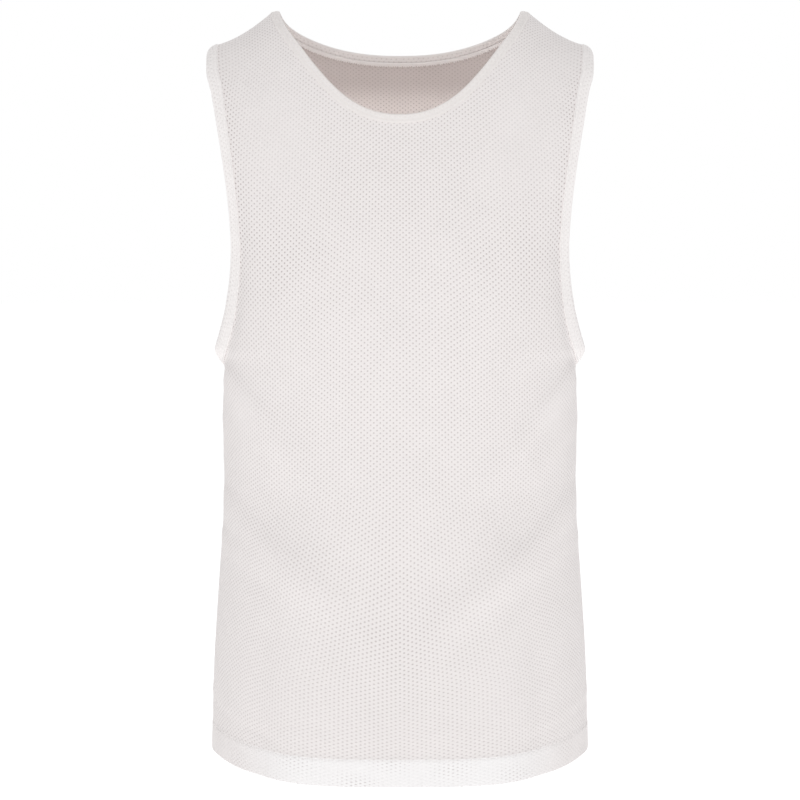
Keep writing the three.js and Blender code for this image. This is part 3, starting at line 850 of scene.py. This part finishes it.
def knit_material(name, cloth, hole_shade, hole_share, doubled_share, painted_shade=None):
    """Polyester eyelet mesh, warp knitted and heat set: matt white cloth with small round holes between soft
    cords of yarn.
    The holes are painted shade: a darker colour that stands for the shade seen through them. Where it lies
    double, the second layer shows through most of the holes, so little of that painted shade is mixed in there.
    An optional second colour is painted shade on the inside just below the neck, which turns to the given cloth
    colour further down."""
    material, tree = new_material(name)
    knit = add_node(tree, "ShaderNodeUVMap", uv_map="knit").outputs[0]
    doubled = add_node(tree, "ShaderNodeAttribute", attribute_name="doubled").outputs["Fac"]
    openness = add_node(tree, "ShaderNodeAttribute", attribute_name="openness").outputs["Fac"]
    noise = add_node(tree, "ShaderNodeTexNoise", {
        "Vector": knit, "Scale": PATCHES_PER_METRE, "Detail": 3.0,
    }).outputs[0]
    yarn = add_node(tree, "ShaderNodeTexNoise", {
        "Vector": knit, "Scale": YARNS_PER_METRE, "Detail": 2.0,
    }).outputs[0]
    distance = hole_distance(tree, knit)
    holes = fade_in(tree, distance, *(HOLE_RADIUS * radii for radii in HOLE_EDGE))
    behind = hole_distance(tree, knit, **LAYER_BEHIND)
    both_open = fade_in(tree, behind, *(HOLE_RADIUS * radii for radii in HOLE_BEHIND_EDGE))
    through = calculate(tree, "MULTIPLY_ADD", both_open, 1 - doubled_share, doubled_share)
    kept = calculate(tree, "MULTIPLY_ADD", doubled, calculate(tree, "SUBTRACT", through, 1.0), 1.0)
    uneven = calculate(tree, "MULTIPLY_ADD", noise, 0.5, 0.72)
    strength = calculate(tree, "MULTIPLY", calculate(tree, "MULTIPLY", holes, kept), openness)
    # The share of painted shade that each hole gets
    depth = calculate(tree, "MULTIPLY", calculate(tree, "MULTIPLY", strength, uneven), hole_share, clamp=True)
    shade = calculate(tree, "MULTIPLY_ADD", noise, -0.05, 1.02)
    own = linear(cloth)
    # Painted shade: darker on the inside just below the neck, turning to the cloth colour further down
    if painted_shade:
        place = add_node(tree, "ShaderNodeTexCoord").outputs["Object"]
        drop = add_node(tree, "ShaderNodeSeparateXYZ", {0: place}).outputs["Z"]
        lit = fade_in(tree, drop, PAINTED_SHADE_FROM * METRES, PAINTED_SHADE_TO * METRES)
        own = add_node(tree, "ShaderNodeMix", {"Factor": lit, "A": linear(painted_shade), "B": own},
                       data_type="RGBA").outputs["Result"]
    tinted = add_node(tree, "ShaderNodeMix", {"Factor": 1.0, "A": own, "B": shade},
                      data_type="RGBA", blend_type="MULTIPLY").outputs["Result"]
    if doubled_share < 1:
        pale = add_node(tree, "ShaderNodeAttribute", attribute_name="pale").outputs["Fac"]
        tinted = add_node(tree, "ShaderNodeMix", {"Factor": pale, "A": tinted, "B": linear(HEM_WHITE)},
                          data_type="RGBA").outputs["Result"]
    # Painted shade: the hole colour is mixed in where the holes are
    colour = add_node(tree, "ShaderNodeMix", {"Factor": depth, "A": tinted, "B": linear(hole_shade)},
                      data_type="RGBA").outputs["Result"]
    cords = fade_in(tree, distance, *(HOLE_RADIUS * radii for radii in CORD_EDGE))
    height = calculate(tree, "MULTIPLY_ADD", yarn, YARN_BUMP, cords)
    bump = add_node(tree, "ShaderNodeBump", {"Height": height, "Strength": 0.6, "Distance": 0.3 * METRES})
    surface = add_node(tree, "ShaderNodeBsdfPrincipled", {
        "Base Color": colour, "Roughness": 0.78, "Normal": bump.outputs[0],
        "Sheen Weight": 0.12, "Sheen Roughness": 0.45, "Specular IOR Level": 0.3,
    })
    add_node(tree, "ShaderNodeOutputMaterial", {"Surface": surface.outputs[0]})
    return material


def thread_material(name, code):
    """Spun polyester sewing thread: white and softly matt, with the ridges of its twist as a fine bump."""
    material, tree = new_material(name)
    place = add_node(tree, "ShaderNodeTexCoord").outputs["Object"]
    twist = add_node(tree, "ShaderNodeTexNoise", {
        "Vector": place, "Scale": TWISTS_PER_METRE, "Detail": 1.0,
    }).outputs[0]
    bump = add_node(tree, "ShaderNodeBump", {"Height": twist, "Strength": 0.5, "Distance": 0.1 * METRES})
    shade = calculate(tree, "MULTIPLY_ADD", twist, -0.12, 1.05)
    colour = add_node(tree, "ShaderNodeMix", {"Factor": 1.0, "A": linear(code), "B": shade},
                      data_type="RGBA", blend_type="MULTIPLY").outputs["Result"]
    surface = add_node(tree, "ShaderNodeBsdfPrincipled", {
        "Base Color": colour, "Roughness": 0.6, "Normal": bump.outputs[0], "Sheen Weight": 0.1,
    })
    add_node(tree, "ShaderNodeOutputMaterial", {"Surface": surface.outputs[0]})
    return material


MESH_OUTSIDE = knit_material("polyester_eyelet_mesh", MESH_WHITE, MESH_HOLE_SHADE, 0.9, 0.14)
# The inside face: a copy of the cloth painted lighter, with painted shade just below the neck
MESH_INSIDE = knit_material(
    "polyester_eyelet_mesh_inside", INSIDE_PAINTED_LIGHT_WHITE, INSIDE_HOLE_SHADE, 0.85, 0.14, painted_shade=INSIDE_PAINTED_SHADE)
MESH_NECK = knit_material("polyester_mesh_folded_neck", NECK_WHITE, BINDING_HOLE_SHADE, 0.6, 1.0)
MESH_ARMHOLE = knit_material("polyester_mesh_folded_armhole", ARMHOLE_WHITE, BINDING_HOLE_SHADE, 0.6, 1.0)
WHITE_THREAD = thread_material("polyester_thread", THREAD_WHITE)
# The inside thread: a copy of the thread painted lighter, to stay pale in the inside's shade
INSIDE_THREAD = thread_material("polyester_thread_inside", INSIDE_THREAD_PAINTED_LIGHT)
PANEL_ROWS = runs(*PANEL_ROW_RUNS)
PANEL_SHARES = runs(*PANEL_SHARE_RUNS)


def lower_hem_step(above_hem):
    """The wall above the hem lies a little lower than the double hem: a smooth step at the stitched line, and
    a narrow groove under the stitches."""
    step_end = HEM_DEPTH + HEM_STEP_REACH
    step = -HEM_STEP * smoothstep(above_hem, HEM_DEPTH - HEM_STEP_START, step_end)
    recover = HEM_STEP * smoothstep(above_hem, step_end, HEM_DEPTH + HEM_STEP_MADE_UP)
    groove = -HEM_GROOVE * np.exp(-((above_hem - HEM_STITCH_LIFT) / HEM_GROOVE_REACH) ** 2)
    return step + recover + groove


def hole_openness(panel, points):
    """How dark the holes are painted, partly for how far they stand open and partly as painted shade: most
    beside the armhole and at the centre, less over the shoulder, and least at the side and shoulder seams,
    where the allowance lies behind them."""
    beside_armhole, _ = near_line(points.reshape(-1, 3), edge_line(panel, armhole_edge, -1, ARMHOLE_SHOWS))
    beside_armhole = beside_armhole.reshape(points.shape[:-1])
    side, height = np.abs(points[..., 0]), points[..., 2]
    openness = np.full(side.shape, EVEN_OPENNESS_AND_SHADE)
    for side_place, height_place, side_reach, height_reach, change in OPENNESS_AND_SHADE_PATCHES:
        openness += change * np.exp(-((side - side_place) / side_reach) ** 2
                                    - ((height - height_place) / height_reach) ** 2)
    openness += ARMHOLE_OPENNESS_AND_SHADE * np.exp(-(beside_armhole / ARMHOLE_OPENNESS_AND_SHADE_REACH) ** 2)
    from_seam = smoothstep(np.abs(points[..., 1]), SEAM_OPENNESS_START, SEAM_OPENNESS_END)
    return openness * mix(SEAM_OPENNESS, 1, from_seam)


def panel_piece(panel):
    """One panel: both faces of a net of places, with the turned-up hem below it and the seams dipped in."""
    fold = hem_fold_rows()
    across, rise = panel_places(panel, PANEL_ROWS, PANEL_SHARES)
    hem_across, hem_line = across[:1], rise[:1].copy()
    above_hem = rise - hem_rise(panel, across)
    rise[0] += fold[-1, 0]
    point = cloth_point(panel, across, rise)
    dip = -SEAM_DIP * np.exp(-(point[..., 1] / SEAM_DIP_REACH) ** 2)
    pucker = seam_pucker(point, edge_line(panel, armhole_edge, -1, ARMHOLE_BINDING_WIDTH))
    pucker += seam_pucker(point, edge_line(panel, neck_edge, 1, NECK_BINDING_WIDTH))
    pucker += seam_pucker(point, cloth_point(panel, EDGE_TURNS, hem_rise(panel, EDGE_TURNS) + HEM_DEPTH))
    lift = dip + pucker + lower_hem_step(above_hem)
    outer = np.concatenate([
        cloth_layer(panel, hem_across, hem_line + fold[:-1, 0:1], fold[:-1, 1:2] + dip[:1]),
        cloth_layer(panel, across, rise, CLOTH_WALL / 2 + lift),
    ])
    inner = np.concatenate([
        cloth_layer(panel, hem_across, hem_line + fold[:-1, 2:3], fold[:-1, 3:4] + dip[:1]),
        cloth_layer(panel, across, rise, -CLOTH_WALL / 2 + lift),
    ])
    full_across = np.concatenate([np.repeat(hem_across, len(fold) - 1, 0), across])
    full_rise = np.concatenate([hem_line - fold[:-1, 0:1], rise])
    table_across, table_rise, table_u, table_v = cloth_coordinates(panel)
    u = read_table(table_across, table_rise, table_u, full_across, full_rise)
    v = read_table(table_across, table_rise, table_v, full_across, full_rise)
    v[:len(fold) - 1] -= fold[:-1, 0:1]
    doubled = np.concatenate([np.ones_like(u[:len(fold) - 1]), 1 - smoothstep(above_hem, *DOUBLED_FADE)])
    openness = hole_openness(panel, outer)
    pale = doubled * (1 - smoothstep(full_across, PALE_SIDE_START, PALE_SIDE_END))
    rows, columns = u.shape
    right = np.arange(rows * columns).reshape(rows, columns)
    left = right + rows * columns
    shared = np.concatenate([np.ones(len(fold) - 1, bool), PANEL_ROWS <= CENTRE_ROWS])
    left[shared, 0] = right[shared, 0]
    quads = np.concatenate([grid_quads(right), grid_quads(left)[:, ::-1]])
    both = [np.concatenate([face.reshape(-1, 3), face.reshape(-1, 3) * MIRROR]) for face in (outer, inner)]
    points, cells, outer_count = closed_sheet(*both, quads)
    knit = np.stack([np.concatenate([u.ravel(), -u.ravel()]), np.tile(v.ravel(), 2)], -1)
    material_rows = (np.arange(len(cells[0])) >= outer_count).astype(int)
    marks = {"doubled": doubled, "openness": openness, "pale": pale}
    return new_piece(
        f"{panel.name}_panel_mesh", points, cells, [MESH_OUTSIDE, MESH_INSIDE], material_rows,
        np.tile(knit, (2, 1)), **{name: np.tile(values.ravel(), 4) for name, values in marks.items()},
    )


def binding_section(form):
    """The folded strip's middle line, from its outer sewn edge round the finished edge to its inner sewn
    edge: straight runs joined by half a circle, with a low dome outside and a groove under each row of
    stitches."""
    radius = (FOLDED_THICKNESS - STRIP_WALL) / 2
    down = np.linspace(form.shows, radius + BINDING_EDGE_IN, BINDING_OUTER_POINTS)
    dome = BINDING_DOME * np.sin(np.clip((down - radius) / (form.stitch_rows[0] - radius), 0, 1) * math.pi)
    grooves = sum(STITCH_GROOVE * np.exp(-((down - row) / STITCH_GROOVE_REACH) ** 2)
                  for row in form.stitch_rows)
    turned_edge = TURNED_EDGE_FALL * smoothstep(down, form.shows - TURNED_EDGE_REACH, form.shows)
    outer = np.stack([down, radius + dome - grooves - turned_edge], -1)
    angle = np.linspace(QUARTER_TURN, -QUARTER_TURN, BINDING_FOLD_POINTS)[1:-1]
    turn = np.stack([BINDING_EDGE_IN + radius - radius * np.cos(angle), radius * np.sin(angle)], -1)
    back = np.linspace(BINDING_EDGE_IN + radius, form.shows_inside, BINDING_INNER_POINTS)
    return np.concatenate([outer, turn, np.stack([back, np.full_like(back, -radius)], -1)])


def offset_section(section, distance):
    """A section's line moved sideways by a distance, to the side that is outside the fold."""
    along = np.gradient(section, axis=0)
    side = unit(np.stack([along[:, 1], -along[:, 0]], -1))
    return section + side * distance


NECK_FORM = Binding(
    edge=neck_edge, into=1, shows=NECK_SHOWS, shows_inside=NECK_INSIDE_SHOWS, stitch_rows=NECK_STITCH_ROWS,
    hole_row=3.0, hidden_openness=0.1, row_openness=0.2, inside_openness=0.5,
)
ARMHOLE_FORM = Binding(
    edge=armhole_edge, into=-1, shows=ARMHOLE_SHOWS, shows_inside=ARMHOLE_INSIDE_SHOWS,
    stitch_rows=ARMHOLE_STITCH_ROWS, hole_row=5.3, hidden_openness=0.15, row_openness=0.9,
    inside_openness=0.6,
)


def ring_quarters(side_only):
    """The quarters of a bound edge in order, each as (panel, mirror, turns up or down)."""
    if side_only:
        return ((FRONT, side_only, 1), (BACK, side_only, -1))
    return ((FRONT, 1, 1), (BACK, 1, -1), (BACK, -1, 1), (FRONT, -1, -1))


def strip_places(panel, form, turns, inward):
    """Places at some distances into the cloth from a bound edge: a walk over the cloth in short steps, which
    starts square to the edge and keeps its heading, read at each distance."""
    across, rise = form.edge(panel, turns)
    widening = armhole_widening(turns) if form.into < 0 else np.ones_like(turns)
    length = form.shows * widening / WALK_STEPS
    step_across, step_rise, heading = inward_step(panel, form.edge, turns, form.into)
    walk = [(across, rise)]
    for _ in range(WALK_STEPS):
        across = np.clip(across + step_across * length, 0, 1)
        rise = np.minimum(rise + step_rise * length, panel.arch_length)
        walk.append((across, rise))
        step_across, step_rise, heading = surface_step(panel, across, rise, heading)
    walk = np.array(walk)
    steps = inward / form.shows * WALK_STEPS
    before = np.clip(steps.astype(int), 0, WALK_STEPS - 1)
    places = mix(walk[before], walk[before + 1], (steps - before)[:, None, None])
    return places[:, 0].T, np.minimum(places[:, 1].T, panel.arch_length)


def ring_grid(form, section, quarters, stations):
    """A section, in (inward, out), carried along a closed bound edge."""
    parts = []
    for panel, mirror, direction in quarters:
        turns = np.arange(stations) / stations
        turns = turns if direction > 0 else 1 - turns
        across, rise = strip_places(panel, form, turns, section[:, 0])
        part = cloth_layer(panel, across, rise, np.broadcast_to(section[:, 1], across.shape))
        parts.append(part * np.array([mirror, 1.0, 1.0]))
    return np.concatenate(parts)


def binding_openness(section, form):
    """The two layers of the strip hide its holes, apart from one row of them outside and some inside."""
    inward, out = section[:, 0], section[:, 1]
    row = np.exp(-((inward - form.hole_row) / BINDING_HOLE_ROW_REACH) ** 2)
    inside = form.inside_openness * smoothstep(inward, BINDING_EDGE_IN, HOLES_FROM_EDGE)
    return np.where(out > 0, mix(form.hidden_openness, form.row_openness, row), inside)


def binding_piece(name, form, quarters, stations):
    """A binding: the folded strip's two faces carried round the edge and closed on themselves. The knit runs
    from the start both ways round and meets itself at the far side."""
    section = binding_section(form)
    faces = [ring_grid(form, offset_section(section, side * STRIP_WALL / 2), quarters, stations)
             for side in (1, -1)]
    count, size = faces[0].shape[:2]
    numbers = np.arange(count * size).reshape(count, size)
    quads = grid_quads(np.concatenate([numbers, numbers[:1]]))
    points, cells, _ = closed_sheet(faces[0].reshape(-1, 3), faces[1].reshape(-1, 3), quads)
    steps = np.linalg.norm(np.roll(faces[0][:, 0], -1, axis=0) - faces[0][:, 0], axis=-1)
    along = np.cumsum(steps) - steps
    along = np.minimum(along, steps.sum() - along)
    knit = np.stack(np.broadcast_arrays(path_lengths(section), along[:, None]), -1).reshape(-1, 2)
    openness = np.tile(binding_openness(section, form), 2 * count)
    material = MESH_NECK if form.into > 0 else MESH_ARMHOLE
    return new_piece(name, points, cells, [material], None, np.tile(knit, (2, 1)),
                     doubled=np.zeros(len(points)), openness=openness)


def resample(path, spacing, closed=True):
    """Even points along a path, with the unit direction at each."""
    loop = np.concatenate([path, path[:1]]) if closed else path
    lengths = path_lengths(loop)
    count = max(int(round(lengths[-1] / spacing)), 2)
    places = np.linspace(0, lengths[-1], count, endpoint=not closed)
    read = [np.interp(places, lengths, loop[:, axis]) for axis in range(3)]
    ahead = [np.interp(np.minimum(places + 0.5, lengths[-1]), lengths, loop[:, axis]) for axis in range(3)]
    behind = [np.interp(np.maximum(places - 0.5, 0), lengths, loop[:, axis]) for axis in range(3)]
    return np.stack(read, -1), unit(np.stack(ahead, -1) - np.stack(behind, -1))


def stitch_template():
    """One stitch: a short round thread that dives into the cloth at both ends, as (along, aside, out)."""
    along, width, height = (column[:, None] for column in STITCH_PROFILE.T)
    angle = np.arange(THREAD_SIDES) * 2 * math.pi / THREAD_SIDES
    aside, out = THREAD_RADIUS * width * np.cos(angle), THREAD_RADIUS * width * np.sin(angle)
    ring = np.stack([np.broadcast_to(along * STITCH_LENGTH, aside.shape), aside, height + out], -1)
    numbers = np.arange(aside.size).reshape(aside.shape)
    tube = grid_quads(np.concatenate([numbers, numbers[:, :1]], 1))[:, ::-1]
    return ring.reshape(-1, 3), tube, numbers[0][::-1], numbers[-1]


def stitches_piece(name, lines, material):
    """Rows of stitches along lines, each line as (points, outward normals, closed)."""
    template, tube, first, last = stitch_template()
    points, cells, caps = [], [], []
    for path, normals, closed in lines:
        places, along = resample(path, STITCH_LENGTH + STITCH_GAP, closed)
        _, nearest = near_line(places, path)
        out = unit(normals[nearest] - along * dot(normals[nearest], along)[:, None])
        aside = np.cross(along, out)
        made = (places[:, None] + template[:, 0:1] * along[:, None] + template[:, 1:2] * aside[:, None]
                + template[:, 2:3] * out[:, None])
        start = sum(len(part) for part in points) + np.arange(len(places))[:, None, None] * len(template)
        points.append(made.reshape(-1, 3))
        cells.append((start + tube).reshape(-1, 4))
        caps.append((start + np.stack([first, last])).reshape(-1, len(first)))
    return new_piece(name, np.concatenate(points), [np.concatenate(cells), np.concatenate(caps)], [material])


def ring_line(form, inward, out, quarters, stations=150):
    """A line round a bound edge and its outward normals."""
    line = ring_grid(form, np.array([[inward, out]]), quarters, stations)[:, 0]
    inside = ring_grid(form, np.array([[inward, out - 1.0]]), quarters, stations)[:, 0]
    return line, unit(line - inside)


def hem_line(panel, lift, out, columns=200):
    """A line round one panel above the hem, from side seam to side seam, and its outward normals."""
    across = np.linspace(HEM_STITCH_END, 1 - HEM_STITCH_END, columns)
    rise = hem_rise(panel, across) + lift
    half = cloth_layer(panel, across, rise, np.full(columns, out))
    normal = surface_normal(cloth_point, panel, across, rise)
    return np.concatenate([half[::-1] * MIRROR, half]), np.concatenate([normal[::-1] * MIRROR, normal])


def scallop_wave(lengths):
    """The loops of an overlocked edge: one rounded tooth for each stitch."""
    return 0.5 + 0.5 * np.cos(lengths * 2 * math.pi / OVERLOCK_PITCH)


def refine(path, spacing):
    """The same path with even points this far apart, as (lengths, points)."""
    lengths = path_lengths(path)
    places = np.arange(0, lengths[-1], spacing)
    return places, np.stack([np.interp(places, lengths, path[:, axis]) for axis in range(3)], -1)


def seam_allowance(sewn_edge, cut_edge, outward):
    """An overlocked allowance: a flat band from its sewn edge to its scalloped cut edge, and the
    thread that loops over it from edge to edge. The edges are lines, and outward is from band to cloth."""
    places, sewn = refine(sewn_edge, OVERLOCK_PITCH / 6)
    share = places / places[-1]
    whole = path_lengths(cut_edge)
    cut = np.stack([np.interp(share * whole[-1], whole, cut_edge[:, axis]) for axis in range(3)], -1)
    kept = np.linspace(0, 1, len(outward))
    out = unit(np.stack([np.interp(share, kept, outward[:, axis]) for axis in range(3)], -1))
    uneven = sum(np.sin(places * 2 * math.pi / length) for length in OVERLOCK_UNEVEN_LENGTHS) / 2
    reach = 1 + OVERLOCK_TOOTH * (scallop_wave(places) - 0.5) + OVERLOCK_UNEVEN * uneven
    across_shares, lifts = ALLOWANCE_PROFILE.T[..., None]
    band = (sewn[:, None] + (cut - sewn)[:, None] * (across_shares * reach[:, None, None])
            + out[:, None] * lifts * ALLOWANCE_WALL)
    swing = 0.5 - 0.5 * np.cos(places * math.pi / OVERLOCK_PITCH)
    thread_path = mix(sewn, cut, mix(*OVERLOCK_LOOP, swing)[:, None])
    thread_path -= out * (ALLOWANCE_WALL + THREAD_RADIUS) / 2
    return [closed_tube(band), closed_tube(round_thread(thread_path, out))]


def round_thread(path, out, sides=5):
    """A round thread along a path, as a grid of points."""
    along = unit(np.gradient(path, axis=0))
    aside = unit(np.cross(along, out))
    lift = np.cross(aside, along)
    angle = np.arange(sides) * 2 * math.pi / sides
    ring = aside[:, None] * np.cos(angle)[:, None] + lift[:, None] * np.sin(angle)[:, None]
    return path[:, None] + THREAD_RADIUS * ring


def closed_tube(grid):
    """The points and cells of a tube from a ring of points at each station: its sides and two ends."""
    numbers = np.arange(grid.shape[0] * grid.shape[1]).reshape(grid.shape[:2])
    sides = grid_quads(np.concatenate([numbers, numbers[:, :1]], 1))
    ends = np.stack([numbers[0], numbers[-1][::-1]])
    points = grid.reshape(-1, 3)
    return points, *turned_outward(points, [sides, ends])


def joined_piece(name, parts, material):
    """One piece from several tubes. The tubes' ends have as many corners as their rings."""
    starts = np.cumsum([0] + [len(points) for points, _, _ in parts])
    cells = [cell + start for start, (_, *part) in zip(starts, parts) for cell in part]
    return new_piece(name, np.concatenate([points for points, _, _ in parts]), cells, [material])


def ring_allowance(form, quarters, stations=150):
    """The overlocked allowance inside a bound edge, below the binding's inner edge."""
    depth = -FOLDED_THICKNESS / 2 - ALLOWANCE_WALL / 2 - ALLOWANCE_GAP
    sewn, outward = ring_line(form, form.shows_inside + ALLOWANCE_START, depth, quarters, stations)
    cut, _ = ring_line(form, form.shows_inside + ALLOWANCE_START + OVERLOCK_WIDTH, depth + ALLOWANCE_WALL / 2,
                       quarters, stations)
    close = np.arange(len(sewn) + 1) % len(sewn)
    return seam_allowance(sewn[close], cut[close], outward[close])


def back_allowance(across, rise, step_across, step_rise, outward, mirror):
    """The overlocked allowance inside a seam of the back panel. The steps lead into the panel."""
    inside = cloth_point(BACK, across - step_across, rise - step_rise)
    step = np.linalg.norm(cloth_point(BACK, across, rise) - inside, axis=-1)
    edges = [cloth_layer(BACK, across - step_across * away / step, rise - step_rise * away / step,
                         np.full(rise.shape, -CLOTH_WALL - SEAM_DIP))
             for away in (ALLOWANCE_START, ALLOWANCE_START + OVERLOCK_WIDTH)]
    side = np.array([mirror, 1.0, 1.0])
    return seam_allowance(edges[0] * side, edges[1] * side, outward * side)


def side_allowance(mirror):
    """The allowance inside a side seam, from the hem up to the armhole binding."""
    top = UNDERARM_HEIGHT - BACK.spring_height - ARMHOLE_SHOWS
    rise = np.linspace(hem_rise(BACK, 1.0) + HEM_DEPTH, top, SIDE_ALLOWANCE_STATIONS)
    outward = surface_normal(cloth_point, BACK, 1 - SIDE_NORMAL_INSET, rise)
    return back_allowance(1.0, rise, ACROSS_STEP, 0.0, outward, mirror)


def shoulder_allowance(mirror):
    """The allowance inside a shoulder seam, between the bindings."""
    across = np.linspace(NECK_ACROSS, TIP_ACROSS, SHOULDER_STATIONS)[SHOULDER_ALLOWANCE_PART]
    rise = np.full(across.shape, BACK.arch_length)
    outward = surface_normal(cloth_point, BACK, across, rise - RISE_STEP)
    return back_allowance(across, rise, 0.0, RISE_STEP, outward, mirror)


def add_camera():
    camera = bpy.data.objects.new("camera", bpy.data.cameras.new("camera"))
    camera.data.lens = CAMERA_LENS
    camera.location = CAMERA_PLACE
    camera.rotation_euler = (QUARTER_TURN - CAMERA_TIP_DOWN, 0.0, 0.0)
    bpy.context.scene.collection.objects.link(camera)
    bpy.context.scene.camera = camera


def add_softbox(name, place, aim, size, power):
    """A square soft light that points from its place to its aim."""
    light = bpy.data.lights.new(name, "AREA")
    light.size = size
    light.energy = power
    lamp = bpy.data.objects.new(name, light)
    lamp.location = place
    lamp.rotation_euler = (Vector(aim) - Vector(place)).to_track_quat("-Z", "Y").to_euler()
    bpy.context.scene.collection.objects.link(lamp)


def add_studio():
    """A pale floor that runs into a white surround, and soft light from the front, the sides and behind."""
    world = bpy.data.worlds.new("studio")
    bpy.context.scene.world = world
    world.use_nodes = True
    tree = world.node_tree
    tree.nodes.clear()
    seen = add_node(tree, "ShaderNodeLightPath").outputs["Is Camera Ray"]
    strength = calculate(tree, "MULTIPLY_ADD", seen, 1.0 - WORLD_LIGHT, WORLD_LIGHT)
    background = add_node(tree, "ShaderNodeBackground", {"Color": (1.0, 1.0, 1.0, 1.0), "Strength": strength})
    add_node(tree, "ShaderNodeOutputWorld", {"Surface": background.outputs[0]})
    bpy.ops.mesh.primitive_plane_add(size=FLOOR_SIZE, location=(0.0, 0.0, FLOOR_HEIGHT))
    floor = bpy.context.object
    floor.name = "floor"
    material, tree = new_material("pale_floor")
    glow = add_node(tree, "ShaderNodeBsdfPrincipled", {
        "Base Color": linear(FLOOR_WHITE), "Roughness": 0.9,
        "Emission Color": (1.0, 1.0, 1.0, 1.0), "Emission Strength": FLOOR_GLOW,
    })
    add_node(tree, "ShaderNodeOutputMaterial", {"Surface": glow.outputs[0]})
    floor.data.materials.append(material)
    for name, place, size, power in SOFTBOXES:
        add_softbox(name, place, LIGHTS_AIM, size, power)
    bpy.context.scene.view_settings.view_transform = "Standard"


add_camera()
add_studio()

front_panel = panel_piece(FRONT)
back_panel = panel_piece(BACK)
NECK_RING = ring_quarters(0)
neck_binding = binding_piece("neck_binding_mesh", NECK_FORM, NECK_RING, 90)
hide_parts("front_panel")
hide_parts("back_panel")
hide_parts("neck_binding")
for side_name, side in (("left", 1), ("right", -1)):
    binding = binding_piece(f"armhole_binding_{side_name}_mesh", ARMHOLE_FORM, ring_quarters(side), 130)
    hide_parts(f"armhole_binding_{side_name}")

neck_rows = [(*ring_line(NECK_FORM, row, FOLDED_THICKNESS / 2, NECK_RING), True) for row in NECK_STITCH_ROWS]
neck_stitches = stitches_piece("neck_topstitching", neck_rows, WHITE_THREAD)
armhole_rows = [
    (*ring_line(ARMHOLE_FORM, row, FOLDED_THICKNESS / 2, ring_quarters(side)), True)
    for side in (1, -1) for row in ARMHOLE_STITCH_ROWS
]
armhole_stitches = stitches_piece("armhole_topstitching", armhole_rows, WHITE_THREAD)
neck_overlock = joined_piece("neck_overlocked_seam", ring_allowance(NECK_FORM, NECK_RING), INSIDE_THREAD)
for side_name, side in (("left", 1), ("right", -1)):
    inside_seams = ring_allowance(ARMHOLE_FORM, ring_quarters(side))
    inside_seams += side_allowance(side) + shoulder_allowance(side)
    overlock = joined_piece(f"{side_name}_overlocked_seams", inside_seams, INSIDE_THREAD)
hem_stitch_out = CLOTH_WALL / 2 - STITCH_SINK
hem_rows = [(*hem_line(panel, HEM_STITCH_LIFT, hem_stitch_out), False) for panel in (FRONT, BACK)]
hem_stitches = stitches_piece("hem_topstitching", hem_rows, WHITE_THREAD)
